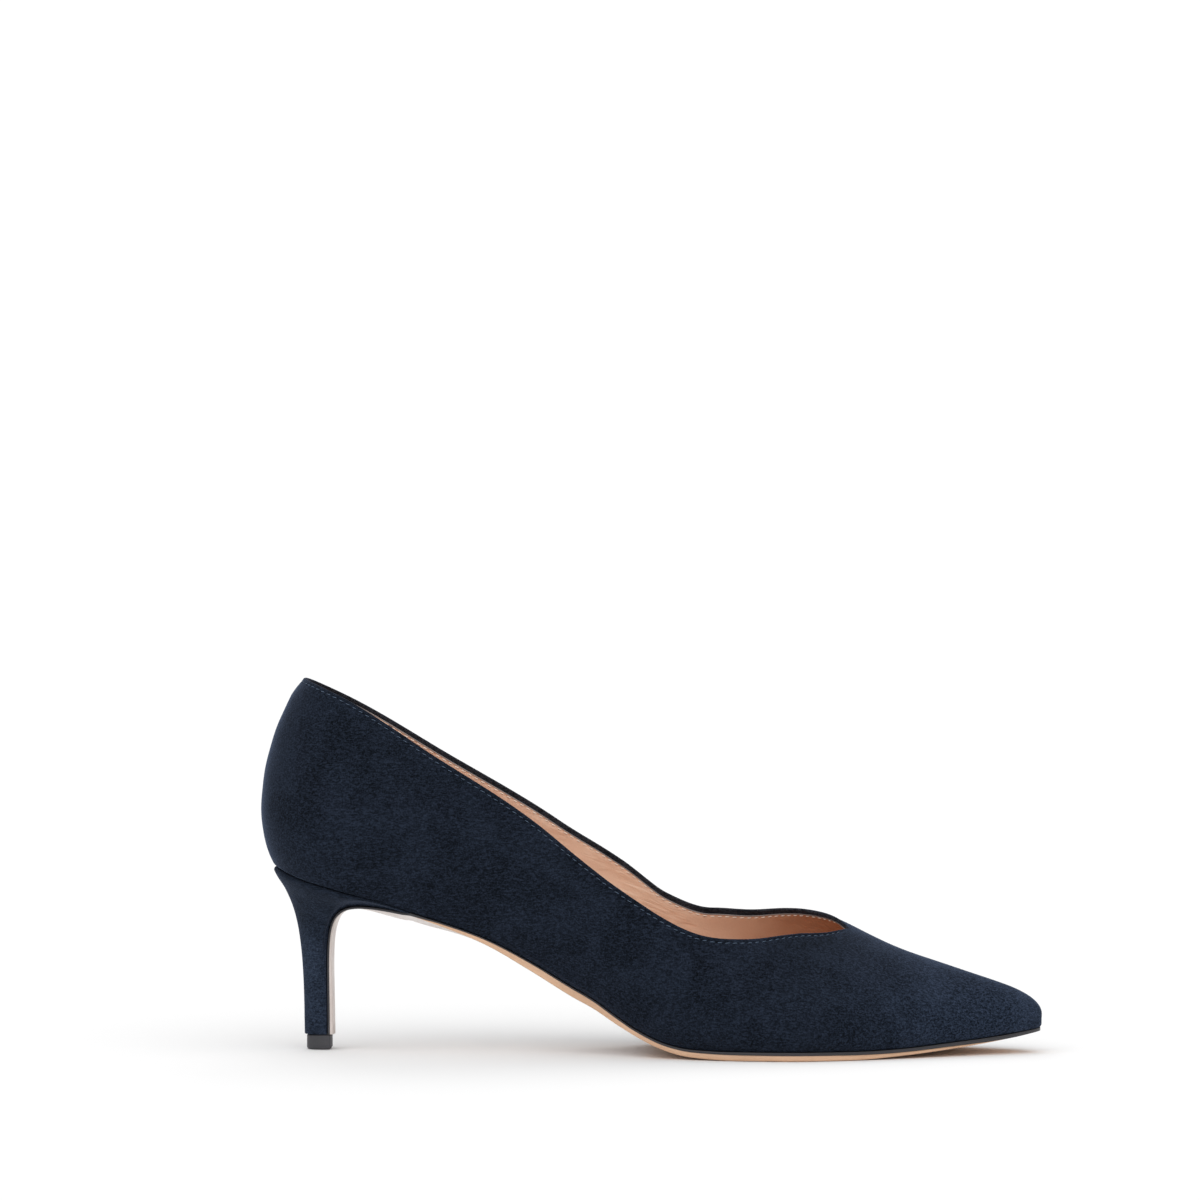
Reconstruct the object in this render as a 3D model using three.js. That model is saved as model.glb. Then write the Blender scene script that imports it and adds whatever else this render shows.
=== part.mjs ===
// A right-foot stiletto pump in millimetres. X runs from the heel's back to the toe tip, +Y is the inner side
// of the foot, and the shoe stands on the floor at Z 0 by its heel tip and the ball of its sole.
import * as THREE from "three";

// The driving sizes.
const LENGTH = 251; // heel back to toe tip, the upper included
const BALL_WIDTH = 73; // feather line to feather line across the ball; the upper swells past it
const INSTEP = 60; // height of the last's ridge above the seat
const HEEL_HEIGHT = 59.5; // floor to the feather line at the back of the heel
const TOE_SPRING = 6.7; // lift of the sole at the toe tip
const WALL = 1.5; // suede and lining together
const INSOLE_THICKNESS = 2;
const SOLE_EDGE = 3.1; // height of the sole's edge at the ball
const BREAST_COVER = 1.7; // thickness of the sole at the foot of the heel's front
const WING_COVER = 0.7; // its thickness where it leaves the waist for the heel
const STEM_SET_IN = 9.6; // how far the stem's back stands ahead of the seat's back
const STEM_DEPTH = 7.65; // along the foot, at the stem's lower end
const STEM_WIDTH = 8.8;
const TIP_HEIGHT = 4.6;
const TIP_INSET = 0.4; // the tip is this much narrower than the stem on each side
const GAP = 0.3; // between neighbouring pieces
const LIP = 0.35; // the sole stands this far out past the feather line
const STEP = 0.25; // the sole's lower band is set in by this much

// Shares of the sizes above.
const HEEL_BACK = 0.017 * LENGTH; // the feather line's rearmost point
const HEEL_AXIS = 0.108 * LENGTH; // the heel's ribs turn about this station
const TOE_AXIS = 0.948 * LENGTH;
const TOE_END = 0.997 * LENGTH;
const THROAT = 0.757 * LENGTH; // the point of the V where the two toplines meet
const WING_END = 0.199 * LENGTH; // where the suede wings of the heel run out under the waist
const BAND = 0.38; // share of the sole's edge taken by its painted upper band
const ROUND = 0.62; // share of the way round the heel taken by its rounded back
const STEM = { back: HEEL_BACK + STEM_SET_IN, depth: STEM_DEPTH, half: STEM_WIDTH / 2 };
const TOP_PIECE = {
  back: STEM.back + 2 * TIP_INSET,
  depth: STEM_DEPTH + BREAST_COVER - 3.5 * TIP_INSET,
  half: STEM.half - TIP_INSET,
};
const STEM_FOOT = TIP_HEIGHT + GAP;

// How finely the curved pieces are divided.
const ROWS = 12;
const HEEL_STATIONS = 12;
const WING_STATIONS = 8;
const MIDDLE_STATIONS = 34;
const TOE_STATIONS = 9;
const STRING_ROWS = 14;

function table(names, rows) {
  const columns = {};
  names.forEach((name, i) => {
    columns[name] = rows.map((row) => row[i]);
  });
  return columns;
}

// The feather line seen from above. along: share of the length. outer, inner: shares of the ball width.
const OUTLINE = table(["along", "outer", "inner"], [
  [0.017, 0.309, 0.309],
  [0.108, 0.309, 0.303],
  [0.180, 0.290, 0.276],
  [0.250, 0.266, 0.235],
  [0.320, 0.254, 0.204],
  [0.380, 0.265, 0.200],
  [0.440, 0.315, 0.233],
  [0.500, 0.386, 0.293],
  [0.560, 0.452, 0.366],
  [0.620, 0.498, 0.433],
  [0.680, 0.512, 0.473],
  [0.742, 0.466, 0.446],
  [0.820, 0.358, 0.349],
  [0.885, 0.251, 0.246],
  [0.948, 0.151, 0.151],
  [0.997, 0.089, 0.089],
]);

// The underside from the side. arch: share of the heel height. spring: share of the toe spring.
// edge: share of the sole's edge height.
const UNDERSIDE = table(["along", "arch", "spring", "edge"], [
  [0.017, 0.985, 0.00, 0.30],
  [0.040, 0.946, 0.00, 0.30],
  [0.108, 0.863, 0.00, 0.30],
  [0.165, 0.796, 0.00, 0.30],
  [0.200, 0.746, 0.00, 0.32],
  [0.240, 0.683, 0.00, 0.50],
  [0.295, 0.586, 0.00, 0.72],
  [0.350, 0.452, 0.00, 1.00],
  [0.405, 0.312, 0.00, 1.08],
  [0.432, 0.252, 0.00, 1.02],
  [0.460, 0.176, 0.00, 0.92],
  [0.487, 0.110, 0.00, 0.82],
  [0.514, 0.056, 0.00, 0.82],
  [0.542, 0.021, 0.00, 0.88],
  [0.580, 0.004, 0.00, 0.96],
  [0.620, 0.000, 0.00, 1.00],
  [0.755, 0.000, 0.00, 0.97],
  [0.820, 0.000, 0.12, 0.83],
  [0.885, 0.000, 0.36, 0.74],
  [0.948, 0.000, 0.68, 0.56],
  [0.997, 0.000, 1.00, 0.43],
]);

// The ridge the ribs rise to. lift: share of the heel height. rise: share of the instep.
const RIDGE = table(["along", "lift", "rise"], [
  [0.055, 0.950, 1.088],
  [0.108, 0.880, 1.064],
  [0.240, 0.700, 0.946],
  [0.380, 0.430, 0.899],
  [0.500, 0.150, 1.003],
  [0.600, 0.050, 0.917],
  [0.680, 0.045, 0.754],
  [0.742, 0.045, 0.641],
  [0.820, 0.050, 0.495],
  [0.885, 0.070, 0.385],
  [0.948, 0.100, 0.272],
  [0.997, 0.130, 0.170],
]);

// The shape of a rib. up: height of its lower control, a share of the rise. sideOuter, sideInner and crownOuter,
// crownInner: how far its controls stand out, in feather widths. mouth: how far out it ends, 0 on the ridge.
// drop: how far the upper control lies below the end. tilt: slope of the section across the ridge.
// shift: sideways place of the ridge, a share of the ball width.
const SECTION = table([
  "along", "up", "sideOuter", "sideInner", "crownOuter", "crownInner", "mouth", "drop", "tilt", "shift",
], [
  [0.017, 0.26, 1.36, 1.36, 1.165, 1.165, 0.597, 0.36, 0.00, 0.000],
  [0.108, 0.21, 1.28, 1.28, 1.19, 1.19, 0.88, 0.38, 0.00, 0.000],
  [0.240, 0.18, 1.32, 1.34, 1.36, 1.42, 1.10, 0.38, 0.00, 0.000],
  [0.380, 0.11, 1.40, 1.42, 1.60, 1.75, 1.30, 0.42, 0.00, -0.014],
  [0.500, 0.10, 1.32, 1.36, 1.38, 1.50, 0.80, 0.30, 0.10, -0.041],
  [0.600, 0.16, 1.24, 1.18, 1.05, 1.00, 0.20, 0.10, 0.34, -0.055],
  [0.680, 0.22, 1.22, 1.14, 0.78, 0.72, 0.00, 0.00, 0.34, -0.055],
  [0.742, 0.28, 1.26, 1.15, 0.62, 0.68, 0.00, 0.00, 0.31, -0.055],
  [0.820, 0.30, 1.28, 1.20, 0.62, 0.66, 0.00, 0.00, 0.20, -0.041],
  [0.885, 0.34, 1.32, 1.28, 0.66, 0.68, 0.00, 0.00, 0.18, -0.025],
  [0.948, 0.42, 1.36, 1.34, 0.74, 0.74, 0.00, 0.00, 0.06, -0.009],
  [0.997, 0.48, 1.38, 1.38, 0.77, 0.77, 0.00, 0.00, 0.00, 0.000],
]);

// The topline: the share of each rib that is kept below it, on the outer and the inner side.
const COLLAR = table(["along", "outer", "inner"], [
  [0.017, 0.982, 0.982],
  [0.108, 0.978, 0.960],
  [0.240, 0.930, 0.934],
  [0.380, 0.866, 0.906],
  [0.460, 0.754, 0.815],
  [0.520, 0.694, 0.685],
  [0.580, 0.665, 0.604],
  [0.640, 0.688, 0.633],
  [0.690, 0.781, 0.742],
  [0.735, 0.886, 0.884],
  [0.757, 1.000, 1.000],
]);

// The strings of the heel, from its back (around 0) to its front corner (around 1). hug: height of the lower
// control, a share of the rise. inward, narrow: how far the upper control lies from the seat towards the stem,
// along and across. under: its depth below the seat, a share of the heel height.
const STRINGS = table(["along", "hug", "inward", "narrow", "under"], [
  [0.00, 0.80, 0.50, 0.50, 0.200],
  [0.30, 0.78, 0.51, 0.50, 0.190],
  [0.62, 0.78, 0.62, 0.54, 0.125],
  [0.85, 0.91, 0.98, 0.70, -0.020],
  [1.00, 1.00, 1.15, 0.82, -0.100],
]);

// The slope of a smooth curve at one of its points, kept small enough that the curve never overshoots.
function slopeAt(xs, ys, k) {
  const last = xs.length - 1;
  if (k === 0) return (ys[1] - ys[0]) / (xs[1] - xs[0]);
  if (k === last) return (ys[last] - ys[last - 1]) / (xs[last] - xs[last - 1]);
  const before = xs[k] - xs[k - 1];
  const after = xs[k + 1] - xs[k];
  const rising = (ys[k] - ys[k - 1]) / before;
  const going = (ys[k + 1] - ys[k]) / after;
  if (rising * going <= 0) return 0;
  const mean = (rising * after + going * before) / (before + after);
  const most = 3 * Math.min(Math.abs(rising), Math.abs(going));
  return Math.sign(mean) * Math.min(Math.abs(mean), most);
}

// A column of a table as a smooth curve over its along column, straight on past both ends.
function read(columns, name, share) {
  const xs = columns.along;
  const ys = columns[name];
  let i = 0;
  while (i < xs.length - 2 && share > xs[i + 1]) i += 1;
  const span = xs[i + 1] - xs[i];
  const t = (share - xs[i]) / span;
  const from = slopeAt(xs, ys, i);
  const to = slopeAt(xs, ys, i + 1);
  if (t < 0) return ys[i] + from * (share - xs[i]);
  if (t > 1) return ys[i + 1] + to * (share - xs[i + 1]);
  const u = 1 - t;
  const points = ys[i] * u * u * (1 + 2 * t) + ys[i + 1] * t * t * (3 - 2 * t);
  return points + span * t * u * (from * u - to * t);
}

const clamp = (value, low, high) => Math.min(Math.max(value, low), high);
const mix = (a, b, t) => a + (b - a) * t;
const sideColumn = (name, side) => name + (side < 0 ? "Outer" : "Inner");

// Zero well below 0 and the value itself well above, with a bend as wide as the width.
const softRamp = (value, width) => (value + Math.hypot(value, width)) / 2;

function bezier(points, t) {
  const u = 1 - t;
  const weights = [u * u * u, 3 * t * u * u, 3 * t * t * u, t * t * t];
  const sum = new THREE.Vector3();
  points.forEach((point, i) => sum.addScaledVector(point, weights[i]));
  return sum;
}

// Half the width of the feather line on one side, rounded off behind the heel axis and past the toe axis.
function footWidth(side, x) {
  const width = BALL_WIDTH * read(OUTLINE, side < 0 ? "outer" : "inner", x / LENGTH);
  const behind = Math.max(HEEL_AXIS - x, 0) / (HEEL_AXIS - HEEL_BACK);
  const beyond = Math.max(x - TOE_AXIS, 0) / (TOE_END - TOE_AXIS);
  return width * Math.sqrt(Math.max(1 - behind * behind, 0) * Math.max(1 - beyond * beyond, 0));
}

function undersideHeight(x) {
  const share = x / LENGTH;
  return HEEL_HEIGHT * read(UNDERSIDE, "arch", share) + TOE_SPRING * read(UNDERSIDE, "spring", share);
}

function seatHeight(x) {
  return undersideHeight(x) + SOLE_EDGE * read(UNDERSIDE, "edge", x / LENGTH);
}

function ridgeHeight(x) {
  const share = x / LENGTH;
  return HEEL_HEIGHT * read(RIDGE, "lift", share) + INSTEP * read(RIDGE, "rise", share);
}

// Ribs in the heel and the toe turn about their axes, so their ridge ends stay near them.
function ridgeStation(x) {
  const ahead = HEEL_AXIS + softRamp(x - HEEL_AXIS, 0.032 * LENGTH);
  const pole = TOE_AXIS + 0.006 * LENGTH;
  return pole - softRamp(pole - ahead, 0.028 * LENGTH);
}

// A point of the rib whose foot is at station x, at the share q of its way from the feather line to the ridge.
function ribPoint(side, x, q) {
  const share = x / LENGTH;
  const ridgeX = ridgeStation(x);
  const ridgeY = BALL_WIDTH * read(SECTION, "shift", ridgeX / LENGTH);
  const reachX = x - ridgeX;
  const reachY = side * footWidth(side, x) - ridgeY;
  const bulge = read(SECTION, sideColumn("side", side), share);
  const crown = read(SECTION, sideColumn("crown", side), share);
  const mouth = Math.max(read(SECTION, "mouth", share), 0);
  const foot = seatHeight(x);
  const end = ridgeHeight(ridgeX + reachX * mouth);
  const rise = end - foot;
  const slope = ridgeHeight(ridgeX + 0.5) - ridgeHeight(ridgeX - 0.5);
  const closed = clamp(1 - 2 * mouth, 0, 1);
  const level = foot + read(SECTION, "up", share) * rise;
  const sag = Math.max(read(SECTION, "drop", share), 0) * rise;
  const lean = closed * slope * reachX + read(SECTION, "tilt", share) * reachY;
  const place = (out, z) => new THREE.Vector3(ridgeX + reachX * out, ridgeY + reachY * out, z);
  return bezier([
    place(1, foot),
    place(bulge, level),
    place(crown, end - sag + lean * crown),
    place(mouth, end),
  ], q);
}

function collarShare(side, x) {
  if (x >= THROAT) return 1;
  return clamp(read(COLLAR, side < 0 ? "outer" : "inner", x / LENGTH), 0, 1);
}

// Stations along the foot: turning round the heel, straight on to the toe axis, turning round the toe.
function stations() {
  const list = [];
  for (let i = 0; i < HEEL_STATIONS; i += 1) {
    list.push(HEEL_AXIS - (HEEL_AXIS - HEEL_BACK) * Math.cos((Math.PI / 2) * (i / HEEL_STATIONS)));
  }
  const beforeThroat = Math.round(MIDDLE_STATIONS * (THROAT - HEEL_AXIS) / (TOE_AXIS - HEEL_AXIS));
  for (let i = 0; i < beforeThroat; i += 1) list.push(mix(HEEL_AXIS, THROAT, i / beforeThroat));
  const afterThroat = MIDDLE_STATIONS - beforeThroat;
  for (let i = 0; i < afterThroat; i += 1) list.push(mix(THROAT, TOE_AXIS, i / afterThroat));
  for (let i = 0; i <= TOE_STATIONS; i += 1) {
    list.push(TOE_AXIS + (TOE_END - TOE_AXIS) * Math.sin((Math.PI / 2) * (i / TOE_STATIONS)));
  }
  return list;
}

// The feather line of one side, moved out in plan by a distance that may be negative.
function featherLine(side, xs, out) {
  return xs.map((x, i) => {
    const before = xs[Math.max(i - 1, 0)];
    const after = xs[Math.min(i + 1, xs.length - 1)];
    const along = after - before;
    const across = footWidth(side, after) - footWidth(side, before);
    const size = Math.hypot(along, across);
    const atBack = x <= HEEL_BACK + 1e-6;
    const atTip = x >= TOE_END - 1e-6;
    const normalX = atBack ? -1 : atTip ? 1 : -across / size;
    const normalY = atBack || atTip ? 0 : along / size;
    return new THREE.Vector2(x + normalX * out, side * (footWidth(side, x) + normalY * out));
  });
}

// A list of triangles whose corners are shared when they lie at the same place.
class Surface {
  constructor() {
    this.points = [];
    this.triangles = [];
    this.places = new Map();
  }

  corner(point) {
    const key = [point.x, point.y, point.z].map((value) => Math.round(value * 2000)).join(" ");
    if (!this.places.has(key)) {
      this.places.set(key, this.points.length);
      this.points.push(point.clone());
    }
    return this.places.get(key);
  }

  triangle(a, b, c) {
    const corners = [this.corner(a), this.corner(b), this.corner(c)];
    if (new Set(corners).size === 3) this.triangles.push(corners);
  }

  quad(a, b, c, d) {
    this.triangle(a, b, c);
    this.triangle(a, c, d);
  }

  // Rows of points, one beside the other; flip turns the faces to the other side.
  grid(rows, flip = false) {
    for (let i = 0; i + 1 < rows.length; i += 1) {
      for (let j = 0; j + 1 < rows[i].length; j += 1) {
        const corners = [rows[i][j], rows[i + 1][j], rows[i + 1][j + 1], rows[i][j + 1]];
        if (flip) corners.reverse();
        this.quad(...corners);
      }
    }
  }

  fan(loop, flip = false) {
    const centre = new THREE.Vector3();
    loop.forEach((point) => centre.addScaledVector(point, 1 / loop.length));
    loop.forEach((point, i) => {
      const next = loop[(i + 1) % loop.length];
      if (flip) this.triangle(centre, next, point);
      else this.triangle(centre, point, next);
    });
  }

  normals() {
    const sums = this.points.map(() => new THREE.Vector3());
    this.triangles.forEach(([a, b, c]) => {
      const first = this.points[b].clone().sub(this.points[a]);
      const second = this.points[c].clone().sub(this.points[a]);
      const face = first.cross(second);
      [a, b, c].forEach((corner) => sums[corner].add(face));
    });
    return sums.map((sum) => sum.normalize());
  }

  // The edges that only one triangle uses, each in that triangle's direction.
  border() {
    const edges = new Map();
    this.triangles.forEach((corners) => {
      corners.forEach((from, i) => {
        const to = corners[(i + 1) % 3];
        if (edges.has(to + " " + from)) edges.delete(to + " " + from);
        else edges.set(from + " " + to, [from, to]);
      });
    });
    return [...edges.values()];
  }

  geometry() {
    const flat = this.triangles.flat().flatMap((corner) => this.points[corner].toArray());
    const made = new THREE.BufferGeometry();
    made.setAttribute("position", new THREE.Float32BufferAttribute(flat, 3));
    made.computeVertexNormals();
    return made;
  }
}

// The outer skin of the upper: both sides from the feather line to the topline, or to the ridge on the vamp.
function outerSkin() {
  const skin = new Surface();
  [-1, 1].forEach((side) => {
    const ribs = stations().map((x) => {
      const rib = [];
      for (let row = 0; row <= ROWS; row += 1) {
        rib.push(ribPoint(side, x, collarShare(side, x) * (row / ROWS)));
      }
      return rib;
    });
    skin.grid(ribs, side > 0);
  });
  return skin;
}

// The upper is its outer skin and the same skin moved in by the wall, joined along the topline and underneath.
function upper() {
  const outer = outerSkin();
  const normals = outer.normals();
  const feather = new Set();
  [-1, 1].forEach((side) => stations().forEach((x) => feather.add(outer.corner(ribPoint(side, x, 0)))));
  const inner = outer.points.map((point, i) => {
    const out = normals[i].clone();
    if (feather.has(i)) out.setZ(0).normalize();
    return point.clone().addScaledVector(out, -WALL);
  });
  const solid = new Surface();
  outer.triangles.forEach(([a, b, c]) => {
    solid.triangle(outer.points[a], outer.points[b], outer.points[c]);
    solid.triangle(inner[c], inner[b], inner[a]);
  });
  outer.border().forEach(([from, to]) => {
    solid.quad(outer.points[to], outer.points[from], inner[from], inner[to]);
  });
  return solid;
}

// A slab between two loops of the same length, each given as its outer side and its inner side.
function slab(outerSide, innerSide, bottomOf, topOf) {
  const rows = (line, heightOf) => line.map((point) => new THREE.Vector3(point.x, point.y, heightOf(point.x)));
  const solid = new Surface();
  const bottomOuter = rows(outerSide, bottomOf);
  const bottomInner = rows(innerSide, bottomOf);
  const topOuter = rows(outerSide, topOf);
  const topInner = rows(innerSide, topOf);
  solid.grid([topOuter, topInner], true);
  solid.grid([bottomOuter, bottomInner]);
  solid.grid([bottomOuter, topOuter], true);
  solid.grid([bottomInner, topInner]);
  return solid;
}

// The insole lies on the sole and the heel, inside the foot of the upper's wall.
function insole() {
  const inset = -(WALL + GAP + 0.2);
  const xs = stations();
  return slab(
    featherLine(-1, xs, inset),
    featherLine(1, xs, inset),
    (x) => seatHeight(x),
    (x) => seatHeight(x) + INSOLE_THICKNESS,
  );
}

// The stem's D-shaped section: round at the back, straight sides, flat in front. around runs as for STRINGS.
function stemPoint(shape, side, around, z) {
  const radius = shape.half;
  const angle = (Math.PI / 2) * Math.min(around / ROUND, 1);
  const straight = Math.max(around - ROUND, 0) / (1 - ROUND);
  const axis = shape.back + radius;
  const x = axis - radius * Math.cos(angle) + (shape.depth - radius) * straight;
  return new THREE.Vector3(x, side * radius * Math.sin(angle), z);
}

function heelStations() {
  const list = [];
  for (let i = 0; i < HEEL_STATIONS; i += 1) {
    list.push(HEEL_AXIS - (HEEL_AXIS - HEEL_BACK) * Math.cos((Math.PI / 2) * (i / HEEL_STATIONS)));
  }
  for (let i = 0; i <= WING_STATIONS; i += 1) list.push(mix(HEEL_AXIS, WING_END, i / WING_STATIONS));
  return list;
}

// One string of the heel's skin, from the stem's foot to the seat's edge.
function heelString(side, around, seat, t) {
  const top = new THREE.Vector3(seat.x, seat.y, seatHeight(seat.x) - GAP);
  const foot = stemPoint(STEM, side, around, STEM_FOOT);
  const above = foot.clone().setZ(mix(foot.z, top.z, read(STRINGS, "hug", around)));
  const below = new THREE.Vector3(
    mix(top.x, foot.x, read(STRINGS, "inward", around)),
    mix(top.y, foot.y, read(STRINGS, "narrow", around)),
    top.z - HEEL_HEIGHT * read(STRINGS, "under", around),
  );
  return bezier([foot, above, below, top], t);
}

// Strings are closer together towards the seat, where they bend.
const stringShare = (row) => Math.pow(row / STRING_ROWS, 0.8);

function heelSide(side) {
  const xs = heelStations();
  const seat = featherLine(side, xs, 0.2);
  return xs.map((x, i) => {
    const turned = ROUND * Math.min(i / HEEL_STATIONS, 1);
    const around = turned + (1 - ROUND) * (Math.max(i - HEEL_STATIONS, 0) / WING_STATIONS);
    const string = [];
    for (let row = 0; row <= STRING_ROWS; row += 1) {
      string.push(heelString(side, around, seat[i], stringShare(row)));
    }
    return string;
  });
}

// Points in a straight line from one to the other.
function across(from, to, cells) {
  const line = [];
  for (let i = 0; i <= cells; i += 1) line.push(from.clone().lerp(to, i / cells));
  return line;
}

function heel() {
  const outerSide = heelSide(-1);
  const innerSide = heelSide(1);
  const solid = new Surface();
  solid.grid(outerSide);
  solid.grid(innerSide, true);
  const corner = outerSide.length - 1;
  solid.grid([outerSide[corner], innerSide[corner]]);
  const topOuter = outerSide.map((string) => string[STRING_ROWS]);
  const topInner = innerSide.map((string) => string[STRING_ROWS]);
  solid.grid([topOuter, topInner], true);
  solid.grid([outerSide.map((string) => string[0]), innerSide.map((string) => string[0])]);
  return solid;
}

function topPieceLoop(z, inset) {
  const shape = {
    back: TOP_PIECE.back + inset,
    depth: TOP_PIECE.depth - 2 * inset,
    half: TOP_PIECE.half - inset,
  };
  const loop = [];
  for (let i = 0; i <= 14; i += 1) loop.push(stemPoint(shape, -1, i / 14, z));
  for (let i = 14; i > 0; i -= 1) loop.push(stemPoint(shape, 1, i / 14, z));
  return loop;
}

// The replaceable tip under the stem, with a small round at the floor.
function heelTip() {
  const loops = [topPieceLoop(0, 0.6), topPieceLoop(0.25, 0.2), topPieceLoop(0.7, 0), topPieceLoop(TIP_HEIGHT, 0)];
  const solid = new Surface();
  solid.grid(loops.map((loop) => [...loop, loop[0]]), true);
  solid.fan(loops[0], true);
  solid.fan(loops[loops.length - 1]);
  return solid;
}

// One ring round the sole: across its top, down the painted band, in by the step, down the lower band, and
// back across the bottom, which may swell below its edges by the belly.
function soleRing(outer, inner, depth, belly, squeeze) {
  const down = (point, share) => point.clone().addScaledVector(depth, share);
  const inward = (from, to, distance) => {
    const gapBetween = from.distanceTo(to);
    return from.clone().lerp(to, gapBetween > 0 ? (distance * squeeze) / gapBetween : 0);
  };
  const edge = (from, to) => [
    from,
    down(from, BAND),
    down(inward(from, to, STEP), BAND + 0.02),
    down(inward(from, to, STEP), 0.86),
    down(inward(from, to, STEP + 0.7), 1),
  ];
  const outerEdge = edge(outer, inner);
  const innerEdge = edge(inner, outer).reverse();
  const bottom = across(outerEdge[4], innerEdge[0], 6).slice(1, -1);
  bottom.forEach((point, i) => {
    const share = (i + 1) / 6;
    point.addScaledVector(depth.clone().normalize(), belly * 4 * share * (1 - share));
  });
  const top = across(inner, outer, 4).slice(1, -1);
  return [...outerEdge, ...bottom, ...innerEdge, ...top];
}

// The sole's rings from the toe tip up the waist to the wings of the heel, then down the heel's front.
function soleRings() {
  const xs = stations().filter((x) => x > WING_END + 1.5).reverse();
  xs.push(WING_END);
  const ordered = [...xs].reverse();
  const outerLine = featherLine(-1, ordered, LIP).reverse();
  const innerLine = featherLine(1, ordered, LIP).reverse();
  const rings = xs.map((x, i) => {
    const width = innerLine[i].y - outerLine[i].y;
    const squeeze = clamp((width - 1) / 12, 0, 1);
    const depth = seatHeight(x) - GAP - undersideHeight(x);
    const waist = clamp((0.53 * LENGTH - x) / (0.1 * LENGTH), 0, 1);
    const lower = (point) => new THREE.Vector3(point.x, point.y, seatHeight(point.x) - GAP);
    const lean = clamp((0.24 * LENGTH - x) / (0.24 * LENGTH - WING_END), 0, 1);
    const fall = new THREE.Vector3(-0.3 * lean * depth, 0, -depth);
    return soleRing(lower(outerLine[i]), lower(innerLine[i]), fall, 1.1 * waist, squeeze);
  });
  const outerSide = heelSide(-1).pop();
  const innerSide = heelSide(1).pop();
  for (let row = STRING_ROWS - 1; row >= 0; row -= 1) {
    const ahead = outerSide[Math.min(row + 1, STRING_ROWS)].clone().sub(outerSide[Math.max(row - 1, 0)]);
    const out = new THREE.Vector3(ahead.z, 0, -ahead.x).normalize();
    const outerPoint = outerSide[row].clone().addScaledVector(out, GAP);
    const innerPoint = innerSide[row].clone().addScaledVector(out, GAP);
    const cover = mix(BREAST_COVER, WING_COVER, clamp(row / STRING_ROWS * 1.5, 0, 1));
    rings.push(soleRing(outerPoint, innerPoint, out.multiplyScalar(cover), 0.25, 1));
  }
  return rings;
}

function outsole() {
  const rings = soleRings();
  const solid = new Surface();
  solid.grid(rings.map((ring) => [...ring, ring[0]]));
  solid.fan(rings[rings.length - 1], true);
  return solid;
}

function mesh(name, surface, colour, roughness) {
  const material = new THREE.MeshStandardMaterial({ color: colour, roughness, metalness: 0 });
  const made = new THREE.Mesh(surface.geometry(), material);
  made.name = name;
  return made;
}

const pump = new THREE.Group();
pump.name = "stiletto_pump";
pump.add(mesh("upper", upper(), 0x1b2330, 0.95));
pump.add(mesh("insole", insole(), 0xb98a68, 0.7));
pump.add(mesh("outsole", outsole(), 0xd8af8f, 0.55));
pump.add(mesh("heel", heel(), 0x1b2330, 0.95));
pump.add(mesh("heel_tip", heelTip(), 0x3c3c41, 0.6));

// The origin goes to the middle of the bounding box, on the floor.
const box = new THREE.Box3().setFromObject(pump);
const middle = box.getCenter(new THREE.Vector3());
pump.children.forEach((child) => child.geometry.translate(-middle.x, -middle.y, -box.min.z));

export default pump;
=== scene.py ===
"""A right-foot stiletto pump in navy suede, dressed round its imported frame.

Shapes are worked out in millimetres in the maker's frame: X runs from the heel's back to the toe tip, +Y
is the inner side of the foot and Z is up from the floor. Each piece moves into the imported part's frame,
in metres, as its mesh is made. A side is -1 for the outer side of the foot and 1 for the inner side.
"""
import math

import bmesh
import bpy
import numpy as np
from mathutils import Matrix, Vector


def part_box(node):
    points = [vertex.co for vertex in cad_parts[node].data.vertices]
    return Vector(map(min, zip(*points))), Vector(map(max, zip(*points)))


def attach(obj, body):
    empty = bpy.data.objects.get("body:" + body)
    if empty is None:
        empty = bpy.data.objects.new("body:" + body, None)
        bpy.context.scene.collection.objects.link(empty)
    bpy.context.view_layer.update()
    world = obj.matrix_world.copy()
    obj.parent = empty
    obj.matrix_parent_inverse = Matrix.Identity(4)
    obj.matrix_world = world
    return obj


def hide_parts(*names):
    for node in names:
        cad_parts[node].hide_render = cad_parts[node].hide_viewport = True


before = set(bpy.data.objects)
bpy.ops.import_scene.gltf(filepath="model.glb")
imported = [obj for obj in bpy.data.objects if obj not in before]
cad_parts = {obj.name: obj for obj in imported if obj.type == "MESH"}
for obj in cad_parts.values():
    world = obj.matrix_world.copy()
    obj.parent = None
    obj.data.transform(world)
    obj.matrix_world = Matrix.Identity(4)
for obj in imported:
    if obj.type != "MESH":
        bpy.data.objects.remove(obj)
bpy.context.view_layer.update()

# The driving sizes, the same as the part's own.
LENGTH = 251.0
BALL_WIDTH = 73.0
INSTEP = 60.0
HEEL_HEIGHT = 59.5
TOE_SPRING = 6.7
WALL = 1.5
INSOLE_THICKNESS = 2.0
SOLE_EDGE = 3.1
BREAST_COVER = 1.7
WING_COVER = 0.7
STEM_SET_IN = 9.6
STEM_DEPTH = 7.65
STEM_WIDTH = 8.8
TIP_HEIGHT = 4.6
TIP_INSET = 0.4
GAP = 0.3
LIP = 0.35

# Places along the foot.
HEEL_BACK = 0.017 * LENGTH
HEEL_AXIS = 0.108 * LENGTH
TOE_AXIS = 0.948 * LENGTH
TOE_END = 0.997 * LENGTH
THROAT = 0.757 * LENGTH
WING_END = 0.199 * LENGTH
ROUND = 0.62  # share of the way round the heel taken by its rounded back
QUARTER = math.pi / 2
STEM_FOOT = TIP_HEIGHT + GAP
STEM = {"back": HEEL_BACK + STEM_SET_IN, "depth": STEM_DEPTH, "half": STEM_WIDTH / 2}
TOP_PIECE = {
    "back": STEM["back"] + 2 * TIP_INSET,
    "depth": STEM_DEPTH + BREAST_COVER - 3.5 * TIP_INSET,
    "half": STEM["half"] - TIP_INSET,
}

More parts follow.
